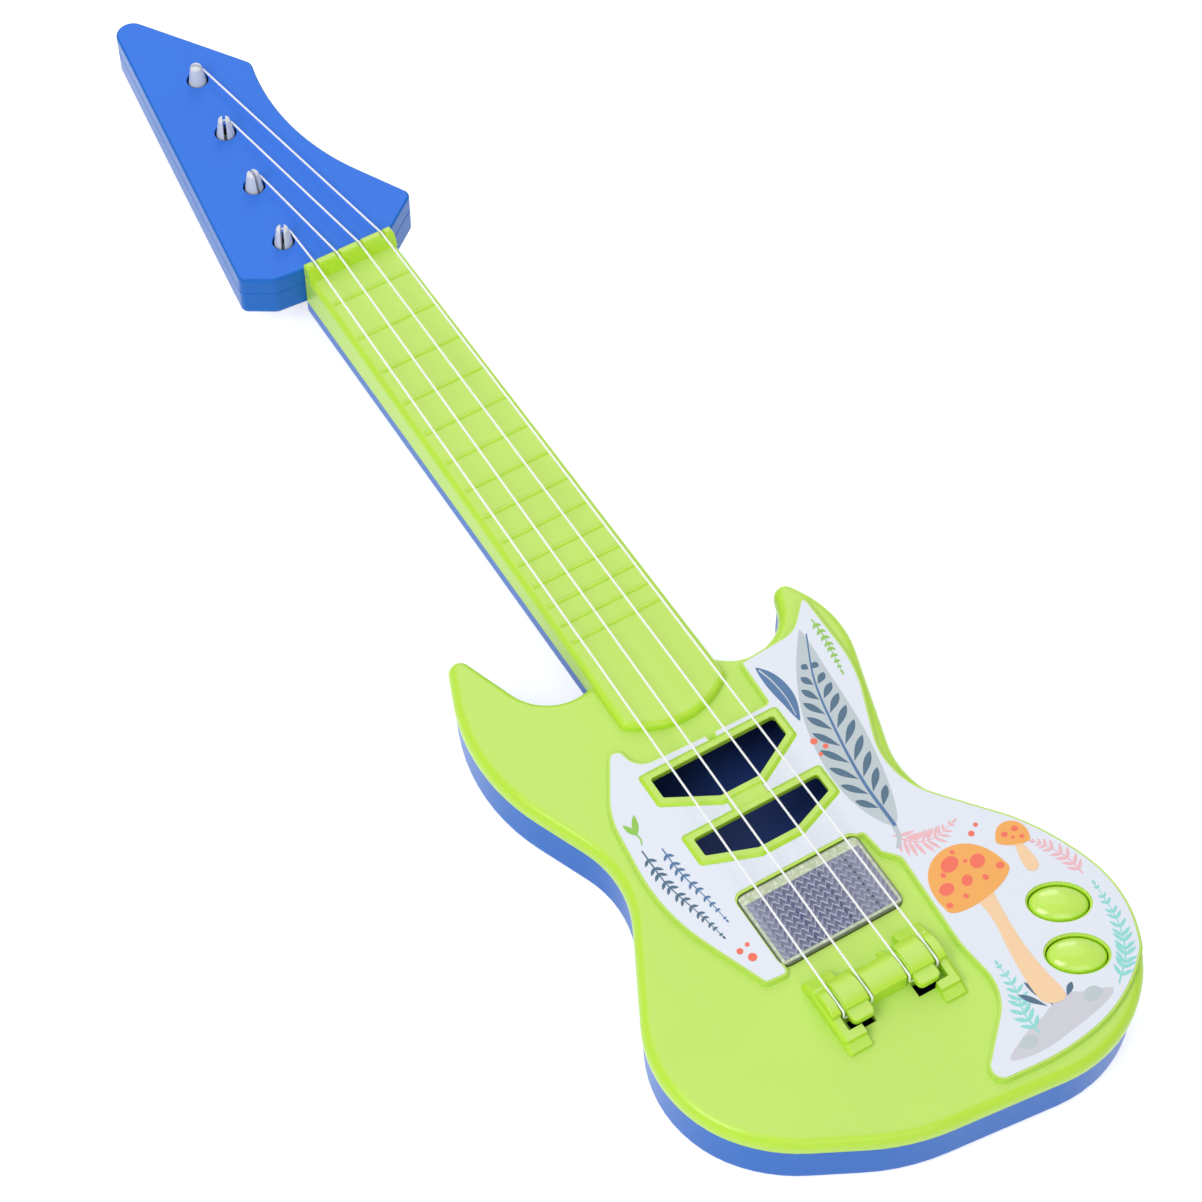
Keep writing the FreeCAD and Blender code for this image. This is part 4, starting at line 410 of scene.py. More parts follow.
        # painted shade in the hollows, lighter flanks, then the painted crest highlight
        colour = add("Mix", flank, linear(self.hollow_shade_hex), linear(self.flank_shading_hex), data_type="RGBA")
        colour = add("Mix", crest, colour, linear(self.crest_highlight_hex), data_type="RGBA")
        colour = add("Mix", haze, colour, linear(self.haze_hex), data_type="RGBA")
        beat = add("Math", add("Math", y, row, operation="DIVIDE"), 0.5, operation="PINGPONG")
        dotted = add("Math", beat, self.dot_row, operation="GREATER_THAN")
        dots = add("Math", dotted, self.dot_strength, operation="MULTIPLY")
        for joint in self.joints_mm:
            near = add("Math", x, joint, self.joint_half_mm, operation="COMPARE")
            spot = add("Math", near, dots, operation="MULTIPLY")
            colour = add("Mix", spot, colour, linear(self.joint_hex), data_type="RGBA")
        return colour, add("Math", lean, self.lean_relief, tooth, operation="MULTIPLY_ADD")

    def build(self) -> bpy.types.Material:
        """Make the node material.

        Returns:
            The material.
        """
        sheet = Sheet(self.name)
        add = sheet.add
        x, y, _ = add("SeparateXYZ", sheet.mm).outputs
        half_x, bottom_y, top_y = self.limits()
        rows, relief = self.knit(sheet, x, y)
        side = add("Math", half_x, add("Math", x, operation="ABSOLUTE"), operation="SUBTRACT")
        high = add("Math", top_y, y, operation="SUBTRACT")
        low = add("Math", y, bottom_y, operation="SUBTRACT")
        rim = add("Math", add("Math", side, low, operation="MINIMUM"), high, operation="MINIMUM")
        below = add("Math", high, self.band_mm - self.border_mm, operation="SUBTRACT")
        inside = add("Math", rim, below, operation="MINIMUM")
        edge, blur = self.border_mm, self.border_blur_mm
        inner = add("MapRange", inside, edge - blur, edge + blur, **SMOOTH)
        crystals = add("TexNoise", sheet.mm, 1 / self.frost_mm, 4.0)
        frost = add("MapRange", crystals, *self.frost_range, **SMOOTH)
        band = add("Mix", frost, linear(self.band_hex), linear(self.frost_hex), data_type="RGBA")
        # painted shade along the rounded border where it turns away
        painted_border_shade = add("MapRange", rim, *self.border_dark_mm, **SMOOTH)
        band = add("Mix", painted_border_shade, band, linear(self.border_shade_hex), data_type="RGBA")
        height = add("Math", relief, inner, operation="MULTIPLY")
        return sheet.finish(
            Base_Color=add("Mix", inner, band, rows, data_type="RGBA"),
            Normal=add("Bump", Strength=self.relief_bump, Distance=self.relief_mm * MM, Height=height),
            Roughness=0.3,
            IOR=1.59,
            Coat_Weight=1.0,
            Coat_Roughness=0.05,
        )


class Ink(Enum):
    """Inks of the printed film."""

    ORANGE = "#F5AA4B"
    CORAL = "#F4694C"
    STONE = "#BCC8CE"
    SLATE = "#3E6EA0"
    NAVY = "#3A627D"
    PINK = "#EEB9C0"
    TEAL = "#8CDAD6"
    SHADOW = "#CDCDD7"
    PEACH = "#F7D0A4"
    LEAF_GREEN = "#8CC63F"

    def finish(self) -> bpy.types.Material:
        """Screen-print ink: flat colour, a little less glossy than the film under it."""
        return PlainFinish("ink_" + self.name.lower(), self.value, 0.34, coat=0.35, grain_mm=0.8,
                           variation=0.012, relief_mm=0.003).build()


# ---- outlines, all in millimetres in the toy's own frame --------------------------------------
def cubic(a: np.ndarray, b: np.ndarray, c: np.ndarray, d: np.ndarray, per: int) -> np.ndarray:
    """Catmull-Rom cubics from every b to c, worked out together.

    With t from 0 to 1, a point is half of 2b + (c - a) t + (2a - 5b + 4c - d) t squared
    + (3b - a - 3c + d) t cubed.

    Args:
        a: stations before each span.
        b: starts.
        c: ends.
        d: stations after each span.
        per: steps in each span.

    Returns:
        Points in order, without the last end.
    """
    a, b, c, d = (station[:, None, :] for station in (a, b, c, d))
    t = np.linspace(0, 1, per, endpoint=False)[None, :, None]
    curve = 2 * b + (c - a) * t + (2 * a - 5 * b + 4 * c - d) * t**2 + (3 * b - a - 3 * c + d) * t**3
    return 0.5 * curve.reshape(-1, 2)


def smooth_line(points: list, per: int = 10) -> Outline:
    """Open curve through points, made of cubics.

    Args:
        points: stations as x, y.
        per: steps in each span.

    Returns:
        N x 2 array that ends on the last station.
    """
    p = np.asarray(points, float)
    e = np.vstack([2 * p[0] - p[1], p, 2 * p[-1] - p[-2]])
    return np.vstack([cubic(e[:-3], e[1:-2], e[2:-1], e[3:], per), p[-1]])


def smooth_loop(points: list, per: int = 10) -> Outline:
    """Closed curve through points, made of cubics.

    Args:
        points: stations as x, y.
        per: steps in each span.

    Returns:
        N x 2 array.
    """
    p = np.asarray(points, float)
    return cubic(*(np.roll(p, shift, axis=0) for shift in (1, 0, -1, -2)), per)


def placed(points: np.ndarray, x: float, y: float, turn: float) -> Outline:
    """Turn points about the origin and move them: each goes to place + rotation times point.

    Args:
        points: N x 2 array.
        x: new place of the origin.
        y: the same.
        turn: angle in degrees.

    Returns:
        N x 2 array.
    """
    c, s = math.cos(math.radians(turn)), math.sin(math.radians(turn))
    return points @ np.array([[c, s], [-s, c]]) + (x, y)


def oval(x: float, y: float, long_half: float, short_half: float, turn: float = 0.0) -> Outline:
    """Ellipse: long_half times the cosine of u, short_half times its sine, turned and placed.

    Args:
        x: centre.
        y: centre.
        long_half: half length.
        short_half: half width.
        turn: angle of the long axis in degrees.

    Returns:
        N x 2 array.
    """
    u = np.linspace(0, 2 * np.pi, OVAL_STEPS, endpoint=False)
    return placed(np.column_stack([long_half * np.cos(u), short_half * np.sin(u)]), x, y, turn)


def swell(t: np.ndarray, belly: float) -> np.ndarray:
    """Leaf profile: sine of pi times a power of t that puts its peak at belly.

    Args:
        t: shares of the length.
        belly: share at which the leaf is widest.

    Returns:
        Width at each share, 1 at the belly.
    """
    power = math.log(0.5) / math.log(belly)
    return np.sin(np.pi * np.clip(t, 0, 1) ** power) ** LEAF_FULLNESS


def along(points: list, per: int) -> tuple[np.ndarray, np.ndarray]:
    """Smooth line and its unit direction at each step.

    Args:
        points: stations as x, y.
        per: steps in each span.

    Returns:
        Points and directions.
    """
    line = smooth_line(points, per)
    way = np.gradient(line, axis=0)
    return line, way / np.hypot(way[:, 0], way[:, 1])[:, None]


def ribbon(line: np.ndarray, way: np.ndarray, half: np.ndarray, pointed: bool) -> Outline:
    """Outline of a ribbon: the line plus its left normal times half the width, then minus it, back.

    Args:
        line: points along the middle.
        way: unit direction at each point.
        half: half width at each point.
        pointed: whether both ends are single points.

    Returns:
        N x 2 array.
    """
    side = np.column_stack([-way[:, 1], way[:, 0]]) * half[:, None]
    back = (line - side)[::-1]
    return np.vstack([line + side, back[1:-1] if pointed else back])


def blade(points: list, width: float, belly: float = 0.45, per: int = 12) -> Outline:
    """Leaf along a curved rib.

    Args:
        points: stations of the rib.
        width: width at the belly.
        belly: share of the length at which it is widest.
        per: steps in each span.

    Returns:
        N x 2 array.
    """
    line, way = along(points, per)
    return ribbon(line, way, 0.5 * width * swell(np.linspace(0, 1, len(line)), belly), True)


def stroke(points: list, first: float, last: float) -> Outline:
    """Brush stroke along a smooth line.

    Args:
        points: stations as x, y.
        first: width at the start.
        last: width at the end.

    Returns:
        N x 2 array.
    """
    line, way = along(points, 8)
    return ribbon(line, way, 0.5 * np.linspace(first, last, len(line)), False)


def ray(start: np.ndarray, angle: float, near: float, far: float) -> list:
    """Two points on a ray from start, at distances near and far."""
    unit = np.array([math.cos(angle), math.sin(angle)])
    return [start + near * unit, start + far * unit]


def frond(points: list, pairs: int, length: float, width: float,
          spread: float = 50.0, stem: float = 0.5) -> list[Outline]:
    """Fern frond: a thin stem with pairs of leaflets that get smaller towards the tip.

    A leaflet's size is a low power of a sine over the stem, which rises fast and falls late, times
    a straight fall to about half.

    Args:
        points: stem stations.
        pairs: pairs of leaflets.
        length: longest leaflet.
        width: widest leaflet.
        spread: angle between leaflet and stem, in degrees.
        stem: stem width at its foot.

    Returns:
        Outlines.
    """
    line, way = along(points, 12)
    shares = np.linspace(*LEAFLET_SPAN, pairs)
    steps = (shares * (len(line) - 1)).astype(int)
    angles = np.arctan2(way[steps, 1], way[steps, 0])
    start, run = LEAFLET_SINE
    sizes = np.sin(np.pi * (start + run * shares)) ** LEAFLET_FULLNESS * (1 - LEAFLET_TAPER * shares)
    shapes = [stroke(points, stem, STEM_TAPER * stem)]
    for foot, angle, size in zip(line[steps], angles, sizes):
        for side in (-1, 1):
            rib = ray(foot, angle + side * math.radians(spread), 0.0, length * size)
            wide = width * (LEAFLET_LEAST + (1 - LEAFLET_LEAST) * size)
            shapes.append(blade(rib, wide, per=8))
    tip = math.atan2(way[-1, 1], way[-1, 0])
    shapes.append(blade(ray(line[-2], tip, 0.0, TIP_LEAF[0] * length), TIP_LEAF[1] * width, per=8))
    return shapes


def veins(points: list, width: float, pairs: int, thick: float) -> list[Outline]:
    """Paired strokes inside a leaf, each as long as the leaf is wide where it ends.

    Args:
        points: stations of the leaf's rib.
        width: width of the leaf.
        pairs: pairs of strokes.
        thick: width of a stroke.

    Returns:
        Outlines.
    """
    line, way = along(points, 16)
    slant = math.radians(VEIN_SLANT)
    shapes = []
    for share in np.linspace(*VEIN_SPAN, pairs):
        step = int(share * (len(line) - 1))
        angle = math.atan2(way[step, 1], way[step, 0])
        half = 0.5 * width * float(swell(np.array([share + VEIN_LOOK_AHEAD]), VEIN_BELLY)[0])
        reach = VEIN_FILL * half / math.sin(slant)
        if reach >= VEIN_LEAST_MM:
            ribs = [ray(line[step], angle + side * slant, VEIN_START_MM, reach) for side in (-1, 1)]
            shapes += [blade(rib, thick, 0.6, 10) for rib in ribs]
    return shapes


def toadstool_cap(x: float, y: float, half: float, rise: float, turn: float) -> Outline:
    """Cap: half an oval with a high crown above, a shallow half oval below.

    Args:
        x: middle of the cap's rim.
        y: middle of the cap's rim.
        half: half width.
        rise: height of the crown.
        turn: angle in degrees.

    Returns:
        N x 2 array.
    """
    u = np.linspace(0, np.pi, CAP_STEPS)
    v = np.linspace(np.pi, 2 * np.pi, CAP_STEPS)[1:-1]
    top = np.column_stack([half * np.cos(u), rise * np.sin(u) ** CAP_CROWN])
    rim = np.column_stack([half * np.cos(v), CAP_RIM_SHARE * rise * np.sin(v)])
    return placed(np.vstack([top, rim]), x, y, turn)


def spots(x: float, y: float, turn: float, sizes: list) -> list[Outline]:
    """Oval spots on a cap.

    Args:
        x: the cap's middle.
        y: the cap's middle.
        turn: the cap's angle in degrees.
        sizes: x, y, long half and short half of each spot in the cap's own frame.

    Returns:
        Outlines.
    """
    rows = np.asarray(sizes, float)
    centres = placed(rows[:, :2], x, y, turn)
    turns = turn + SPOT_TURN * np.arange(len(rows))
    return [oval(c[0], c[1], r[2], r[3], angle) for c, r, angle in zip(centres, rows, turns)]


# ---- sub-assemblies ---------------------------------------------------------------------------
def wear(wearers: dict) -> None:
    """Put finishes on CAD nodes.

    Args:
        wearers: finish to the names of the nodes that take it.
    """
    for finish, names in wearers.items():
        material = finish.build()
        for name in names:
            assign(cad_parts[name], material)
            LOG.info("%s: %s", name, finish.name)


@dataclass
class Mouldings:
    """Green front, blue back and headstock, buttons and pegs, which keep their CAD shapes."""

    # lime green with clean highlights on rims and sides, and paler level faces: partly a satin look, partly
    # painted sheen
    green: MouldedAbs = MouldedAbs("green_abs", "#BBE835", "#C4E768")
    # from a polished cavity: a bright wet highlight on a dome that lets a little light in
    button: MouldedAbs = MouldedAbs("polished_green_abs", "#C2EC45", "#C2EC45", 0.22, 0.22,
                                    edge_mm=0.1, scatter=0.25, coat=1.0, coat_roughness=0.1)
    # deep blue on the sides and a lighter satin blue on level faces, partly painted sheen; painted shade
    # inside the case
    blue: MouldedAbs = MouldedAbs("blue_abs", "#176DCC", "#397BE8", gloss=0.16, inside_shade_hex="#2E4690")
    # waxy pale grey that blurs its highlights
    peg: PlainFinish = PlainFinish("grey_nylon_moulding", "#E2E5EA", 0.34, ior=1.53, grain_mm=0.4,
                                   variation=0.02, scatter=0.1)

    def dress(self) -> None:
        """Put the moulded finishes on the CAD nodes."""
        wearers = {
            self.green: ("front_shell",),
            self.blue: ("back_shell", "headstock_cover", "battery_door"),
            self.button: ("upper_button", "lower_button"),
            self.peg: tuple("tuning_peg_%d" % number for number in range(1, 5)),
        }
        wear(wearers)


@dataclass
class StringSet:
    """Nylon strings: clear-white monofilament with a soft shine."""

    # a thin white line with a soft glint along it
    nylon: PlainFinish = PlainFinish("white_nylon", "#FBFCFE", 0.3, ior=1.53, grain_mm=0.3,
                                     variation=0.01, scatter=0.2)

    def dress(self) -> None:
        """Put the nylon finish on both string pairs."""
        wear({self.nylon: ("low_string_pair", "high_string_pair")})


@dataclass
class LightWindow:
    """Prism window and the LEDs behind it."""

    lens: PrismLens = PrismLens()
    # water-clear domes: smooth, pale and sharply lit
    resin: PlainFinish = PlainFinish("clear_led_epoxy", "#E4E8EA", 0.12, ior=1.54, grain_mm=1.0,
                                     variation=0.01)

    def dress(self) -> None:
        """Put the lens and resin finishes on their CAD nodes."""
        wear({self.lens: ("light_window",), self.resin: ("leds",)})


@dataclass
class Electronics:
    """Boards, speaker, cells, contacts, screws and leads inside the case."""

    finishes: dict = field(default_factory=lambda: {
        # lacquer over woven glass: deep green with a wet gloss
        PlainFinish("green_solder_mask", "#1F6B3A", 0.35, coat=0.5, grain_mm=0.6, variation=0.05):
            ("main_board", "button_board"),
        # a cured drop: black and smooth, with one broad highlight
        PlainFinish("black_epoxy", "#121214", 0.3, grain_mm=0.8): ("sound_chip",),
        # small mouldings: black with a dull sheen
        PlainFinish("black_nylon", "#17181A", 0.5):
            ("upper_switch", "lower_switch", "upper_switch_plunger", "lower_switch_plunger"),
        # rolled sheet: mid grey metal with blurred reflections
        PlainFinish("pressed_steel", "#9C9CA0", 0.35, metallic=1.0, grain_mm=0.3): ("speaker_basket",),
        # felted fibres: dull, mottled black
        PlainFinish("pulp_paper", "#2B2928", 0.9, grain_mm=0.25, variation=0.12, relief_mm=0.05):
            ("speaker_cone",),
        # faintly warm metal with clear reflections
        PlainFinish("nickel_plate", "#B4B2AC", 0.22, metallic=1.0):
            ("speaker_magnet", "battery_springs", "battery_plates"),
        # shrunk film: slate grey under a thin gloss
        PlainFinish("printed_cell_jacket", "#3C4148", 0.3, coat=0.4): ("battery_cells",),
        # bright screws with a slightly cold tone
        PlainFinish("zinc_plated_steel", "#BFC1C4", 0.28, metallic=1.0, grain_mm=0.2):
            ("battery_door_screw", "case_screws", "headstock_screws", "board_screws"),
        # soft lead insulation: saturated red with a dull sheen
        PlainFinish("red_pvc", "#B4231E", 0.42, grain_mm=0.4):
            ("battery_wires", "speaker_wires", "button_wires"),
    })

    def dress(self) -> None:
        """Put each finish on its CAD nodes."""
        wear(self.finishes)


@dataclass
class PrintedFilm:
    """Film on the raised panel with a print of leaves, ferns and spotted toadstools."""

    # laminated paper: cool white, nearly even, with a thin clear gloss over it
    film: PlainFinish = PlainFinish("white_film", "#E2E8F4", 0.3, coat=0.6, grain_mm=1.2,
                                    variation=0.006, relief_mm=0.004)
    thickness_mm: float = 0.02
    shape_mm: float = 0.0005     # rise from one shape to the next, so that later ones lie on top
    sink_mm: float = 0.01        # depth of the ink in the film, so that no gap shows
    opening_long_mm: float = 8.95
    opening_short_mm: float = 6.4
    button_turn: float = -31.0
    big_leaf: tuple = ((28.0, -1.5), (28.4, 14), (31.0, 31), (34.6, 46), (40.0, 61.5))
    big_leaf_width_mm: float = 14.2
    cap_big: tuple = (35.6, -27.2, 10.5, 13.6, 9.0)
    cap_small: tuple = (51.2, -20.4, 4.4, 5.6, -24.0)

    def top_mm(self) -> float:
        """Height of the film's face."""
        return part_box("printed_sticker")[1][2] / MM

    def hold_off(self, shape: Outline) -> Outline:
        """Trim an outline round the buttons.

        In a button's own frame a point inside the oval round its opening is divided by its reach,
        which is its distance in units of that oval, and so lands on the oval.

        Args:
            shape: outline.

        Returns:
            The trimmed outline.
        """
        size = np.array([self.opening_long_mm, self.opening_short_mm])
        for name in ("upper_button", "lower_button"):
            low, high = (np.asarray(corner[:2]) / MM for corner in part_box(name))
            middle = (low + high) / 2
            local = placed(shape - middle, 0, 0, -self.button_turn)
            reach = np.linalg.norm(local / size, axis=1)[:, None]
            shape = placed(local / np.clip(reach, 1e-6, 1.0), middle[0], middle[1], self.button_turn)
        return shape

    def prism(self, shape: Outline, number: int) -> tuple[np.ndarray, list]:
        """Closed prism over an outline, anticlockwise and a hair higher than the shape before it.

        Args:
            shape: outline.
            number: its place in the whole print.

        Returns:
            Points and faces.
        """
        ahead = np.roll(shape, -1, axis=0)
        if np.sum(shape[:, 0] * ahead[:, 1] - ahead[:, 0] * shape[:, 1]) < 0:
            shape = shape[::-1]
        count = len(shape)
        low, high = -self.sink_mm, self.thickness_mm + number * self.shape_mm
        heights = self.top_mm() + np.repeat([low, high], count)
        ring = np.arange(count)
        after = np.roll(ring, -1)
        walls = np.column_stack([ring, after, after + count, ring + count]).tolist()
        ends = [(ring + count).tolist(), ring[::-1].tolist()]
        return np.column_stack([np.tile(shape, (2, 1)), heights]), walls + ends

    def patch(self, name: str, shapes: list[Outline], first: int, ink: Ink) -> None:
        """Make one ink layer.

        Args:
            name: piece name.
            shapes: outlines.
            first: number of shapes printed before.
            ink: ink of the layer.
        """
        points, faces, start = [], [], 0
        for number, shape in enumerate(shapes, first):
            corners, sides = self.prism(self.hold_off(shape), number)
            points.append(corners)
            faces += [[corner + start for corner in side] for side in sides]
            start += len(corners)
        piece = mesh_piece(name, np.vstack(points), faces)
        assign(piece, ink.finish())
        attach(piece, TOY_BODY)
        LOG.info("%s: %d shapes", name, len(shapes))

    def ground(self) -> list[Outline]:
        """Shadow that the toadstools stand in.

        Returns:
            Outlines.
        """
        return [smooth_loop([(15, -71), (22, -67.2), (29, -65.2), (36, -62.6), (41, -64.8), (45, -66.2),
                             (48.0, -68), (44, -70.2), (34, -72.0), (23, -73.0)])]

    def pink_ferns(self) -> list[Outline]:
        """Two pink fronds, at the panel's waist and above the buttons.

        Returns:
            Outlines.
        """
        return [
            *frond([(25.9, -3.4), (29.0, -7.6), (34.5, -9.6), (41.0, -8.2)], 10, 6.0, 1.2),
            *frond([(60.6, -37.5), (60.0, -32.0), (57.6, -26.5), (55.0, -23.0)], 8, 4.0, 1.1, 46),
        ]

    def teal_ferns(self) -> list[Outline]:
        """Two teal fronds, beside the buttons and at the toadstool's foot.

        Returns:
            Outlines.
        """
        return [
            *frond([(50.0, -67.6), (56.4, -61.4), (60.2, -52.5), (61.4, -41.0)], 13, 4.6, 1.15, 44),
            *frond([(25.2, -68.5), (25.2, -62), (27.2, -55.5), (27.4, -47.5)], 9, 4.6, 1.25),
        ]

    def stone_shapes(self) -> list[Outline]:
        """Big leaf in the horn with its stalk, and two pebbles.

        Returns:
            Outlines.
        """
        return [
            blade(list(self.big_leaf), self.big_leaf_width_mm, 0.42),
            stroke([(28.1, 1.0), (27.2, -4.2), (24.9, -7.4)], 1.5, 1.0),
            smooth_loop([(40.2, -66.6), (41.6, -64.8), (44.2, -64.9), (45.4, -66.9), (43.2, -68.2),
                         (41.0, -68.0)]),
            smooth_loop([(19.0, -69.6), (20.6, -67.8), (23.0, -68.0), (23.9, -69.9), (21.8, -71.1)]),
        ]

    def navy_shapes(self) -> list[Outline]:
        """Strokes inside the big leaf, a sprig on the left wing and grass.

        Returns:
            Outlines.
        """
        grass = [blade(list(pair), 1.6, 0.6) for pair in (
            ((31.2, -63.6), (26.8, -57.4)), ((32.6, -64.2), (30.0, -55.2)), ((37.0, -63.8), (40.2, -61.2)))]
        return [
            *veins(list(self.big_leaf), self.big_leaf_width_mm, 11, 2.0),
            *frond([(-30.9, 25.5), (-30.6, 14), (-28.2, 3), (-26.4, -6.5)], 13, 2.9, 1.0, 48, 0.4),
            *grass,
        ]

    def slate_shapes(self) -> list[Outline]:
        """Rib of the big leaf, a small leaf and a second sprig.

        Returns:
            Outlines.
        """
        return [
            stroke([*self.big_leaf[:-1], (40.8, 59.5)], 1.0, 0.35),
            blade([(23.6, 57.4), (25.0, 52), (25.6, 45), (24.6, 37.5)], 4.6, 0.5),
            *frond([(-26.2, 23.5), (-25.9, 15), (-24.3, 6), (-23.2, -3)], 10, 2.5, 0.9, 48, 0.35),
        ]

    def stems(self) -> list[Outline]:
        """Stems of both toadstools.

        Returns:
            Outlines.
        """
        return [
            smooth_loop([(33.4, -24), (33.7, -36), (31.9, -46.5), (30.6, -57), (31.4, -62.6), (35.6, -64.2),
                         (37.2, -61.8), (36.4, -55), (36.3, -45), (37.6, -34), (39.0, -25)]),
            smooth_loop([(50.4, -17.5), (50.6, -22), (49.4, -26.5), (49.4, -29.6), (51.4, -30.6),
                         (53.0, -28.6), (52.8, -23), (52.8, -18)]),
        ]

    def coral_shapes(self) -> list[Outline]:
        """Spots of both caps and loose berries.

        Returns:
            Outlines.
        """
        x, y, _, _, turn = self.cap_big
        small_x, small_y, _, _, small_turn = self.cap_small
        berries = ((24.2, 30.4, 0.95), (26.0, 27.6, 0.75), (23.6, 26.2, 0.6), (-23.4, -14.6, 1.15),
                   (-25.2, -11.6, 0.85), (-22.6, -10.9, 0.6), (43.2, -13.4, 0.8), (45.6, -11.8, 0.6))
        return [
            *spots(x, y, turn, [
                (-6.3, 4.6, 2.1, 1.7), (-0.8, 9.4, 2.7, 2.0), (5.3, 5.6, 2.2, 1.9), (-0.6, 3.2, 1.7, 1.4),
                (-8.9, 0.7, 0.8, 0.9), (8.8, 1.0, 1.0, 1.1), (-4.2, 8.1, 0.8, 0.7), (2.9, 7.6, 0.6, 0.6),
                (3.6, 0.9, 0.9, 0.8), (-3.9, 0.1, 0.8, 0.7), (2.1, 11.6, 0.7, 0.6)]),
            *spots(small_x, small_y, small_turn, [
                (-1.9, 1.8, 0.9, 0.8), (1.0, 3.2, 1.0, 0.8), (2.4, 0.8, 0.7, 0.6), (0.1, 0.7, 0.5, 0.45)]),
            *(oval(berry_x, berry_y, radius, radius) for berry_x, berry_y, radius in berries),
        ]

    def sprouts(self) -> list[Outline]:
        """Seedling on the left wing and a green sprig in the horn's tip.

        Returns:
            Outlines.
        """
        return [
            blade([(-29.6, 30.2), (-31.2, 34.4)], 1.5),
            blade([(-29.6, 30.2), (-27.2, 35.6)], 1.7),
            stroke([(-29.6, 30.6), (-29.4, 28.6), (-30.0, 27.0)], 0.45, 0.3),
            *frond([(44.5, 62.6), (44.3, 56), (43.2, 49.5), (42.2, 44.0)], 9, 2.1, 0.85, 46, 0.35),
        ]

    def dress(self) -> None:
        """Dress the film and lay the ink layers on it from the bottom up."""
        wear({self.film: ("printed_sticker",)})
        small_rib = [stroke([(23.9, 56.2), (25.0, 51.6), (25.4, 45.5), (24.7, 39.6)], 0.5, 0.25)]
        caps = [toadstool_cap(*self.cap_big), toadstool_cap(*self.cap_small)]
        printed = 0
        for name, ink, shapes in (
            ("print_ground", Ink.SHADOW, self.ground()),
            ("print_pink_ferns", Ink.PINK, self.pink_ferns()),
            ("print_teal_ferns", Ink.TEAL, self.teal_ferns()),
            ("print_big_leaf", Ink.STONE, self.stone_shapes()),
            ("print_leaf_stripes", Ink.NAVY, self.navy_shapes()),
            ("print_leaf_rib", Ink.SLATE, self.slate_shapes()),
            ("print_small_rib", Ink.STONE, small_rib),
            ("print_stems", Ink.PEACH, self.stems()),
            ("print_caps", Ink.ORANGE, caps),
            ("print_spots", Ink.CORAL, self.coral_shapes()),
            ("print_sprouts", Ink.LEAF_GREEN, self.sprouts()),
        ):
            self.patch(name, shapes, printed, ink)
            printed += len(shapes)


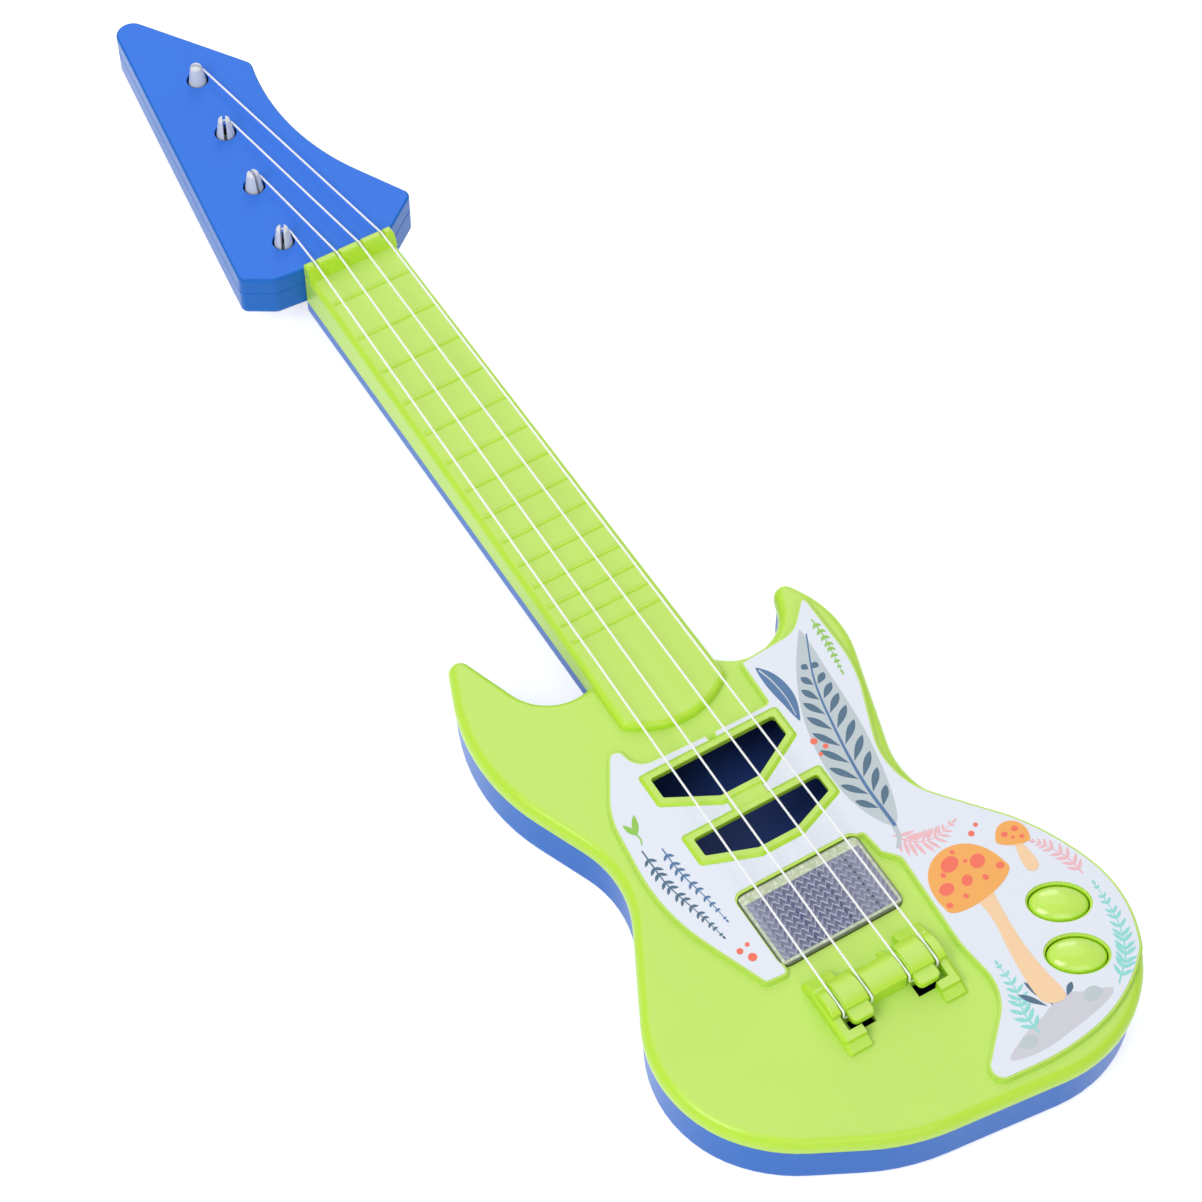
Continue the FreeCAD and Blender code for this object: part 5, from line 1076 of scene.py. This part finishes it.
@dataclass
class Studio:
    """Pale floor, soft lights and a camera set for the toy lying face up."""

    target_mm: tuple = (0.59, 97.37, 21.0)
    distance_mm: float = 929.5
    azimuth: float = -31.23
    elevation: float = 55.44
    lens_mm: float = 104.8
    sensor_mm: float = 36.0
    # name, azimuth, elevation, distance and side in millimetres, power in watts
    lamps: tuple = (
        ("key_softbox", -75.0, 50.0, 1200.0, 560.0, 5.0),
        ("front_softbox", -12.0, 34.0, 1250.0, 700.0, 1.8),
        ("top_softbox", 150.0, 62.0, 1300.0, 1000.0, 1.8),
        ("rear_softbox", 150.0, 30.0, 1300.0, 600.0, 2.4),
    )
    floor_half_mm: float = 3000.0
    floor_gap_mm: float = 0.05
    floor_hex: str = "#F4F4F4"
    floor_lift: float = 0.55
    world_light: float = 0.52

    def aim(self, thing: bpy.types.Object, azimuth: float, elevation: float, distance_mm: float) -> None:
        """Put an object at a distance from the target and point its -Z axis at it.

        Args:
            thing: camera or lamp.
            azimuth: degrees round the upright from -Y, towards +X.
            elevation: degrees above the level.
            distance_mm: distance from the target.
        """
        a, e = math.radians(azimuth), math.radians(elevation)
        gap = Vector((math.sin(a) * math.cos(e), -math.cos(a) * math.cos(e), math.sin(e))) * distance_mm
        thing.location = (Vector(self.target_mm) + gap) * MM
        thing.rotation_euler = (-gap).to_track_quat("-Z", "Y").to_euler()
        bpy.context.scene.collection.objects.link(thing)

    def camera(self) -> None:
        """Set the camera."""
        data = bpy.data.cameras.new("camera")
        data.lens, data.sensor_width = self.lens_mm, self.sensor_mm
        data.clip_start, data.clip_end = 0.01, 20.0
        thing = bpy.data.objects.new("camera", data)
        self.aim(thing, self.azimuth, self.elevation, self.distance_mm)
        bpy.context.scene.camera = thing

    def light(self) -> None:
        """Set the square soft lamps."""
        for name, azimuth, elevation, distance, side, power in self.lamps:
            data = bpy.data.lights.new(name, "AREA")
            data.shape, data.size, data.energy = "SQUARE", side * MM, power
            self.aim(bpy.data.objects.new(name, data), azimuth, elevation, distance)

    def seen(self, tree: bpy.types.NodeTree, *rays: str) -> Socket:
        """Share that is 1 for the named kinds of ray and 0 for others.

        Args:
            tree: node tree that takes the nodes.
            rays: outputs of Light Path.

        Returns:
            The share.
        """
        path = add(tree, "LightPath").outputs
        share = path[rays[0]]
        for kind in rays[1:]:
            share = add(tree, "Math", share, path[kind], operation="MAXIMUM").outputs[0]
        return share

    def floor(self) -> None:
        """Lay white paper that keeps the toy's soft shadow and shows clean white to the eye.

        It is seen through from below, so that the toy's underside can be looked at, and it lies a
        hair lower than the toy's flat back.
        """
        half, low = self.floor_half_mm, -self.floor_gap_mm
        points = np.array([[-half, -half, low], [half, -half, low], [half, half, low], [-half, half, low]])
        piece = mesh_piece("floor", points, [(0, 1, 2, 3)])
        sheet = Sheet("floor_paper")
        shown = self.seen(sheet.tree, "Is Camera Ray", "Is Glossy Ray", "Is Transmission Ray")
        glow = sheet.add("Emission", Strength=sheet.add("Math", shown, self.floor_lift, operation="MULTIPLY"))
        assign(piece, sheet.finish(Base_Color=linear(self.floor_hex), Roughness=0.9))
        output = next(n for n in sheet.tree.nodes if n.type == "OUTPUT_MATERIAL")
        paper = sheet.add("AddShader", sheet.shader, glow)
        under = sheet.add("NewGeometry").outputs["Backfacing"]
        give(output, sheet.add("MixShader", under, paper, sheet.add("BsdfTransparent")))

    def world(self) -> None:
        """Even white surroundings."""
        world = bpy.data.worlds.new("studio")
        bpy.context.scene.world = world
        world.use_nodes = True
        tree = world.node_tree
        back = next(n for n in tree.nodes if n.type == "BACKGROUND")
        shown = self.seen(tree, "Is Camera Ray", "Is Glossy Ray", "Is Transmission Ray")
        give(back, (1, 1, 1, 1), add(tree, "MapRange", shown, 0.0, 1.0, self.world_light, 1.0))

    def build(self) -> None:
        """Set up the whole studio."""
        self.camera()
        self.light()
        self.floor()
        self.world()
        bpy.context.scene.view_settings.view_transform = "Standard"
        LOG.info("studio ready")


def main() -> None:
    """Dress every sub-assembly in order, then build the studio."""
    logging.basicConfig(level=logging.INFO, format="%(message)s")
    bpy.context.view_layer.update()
    for assembly in (Mouldings(), StringSet(), LightWindow(), Electronics(), PrintedFilm()):
        assembly.dress()
    Studio().build()


if __name__ == "__main__":
    main()
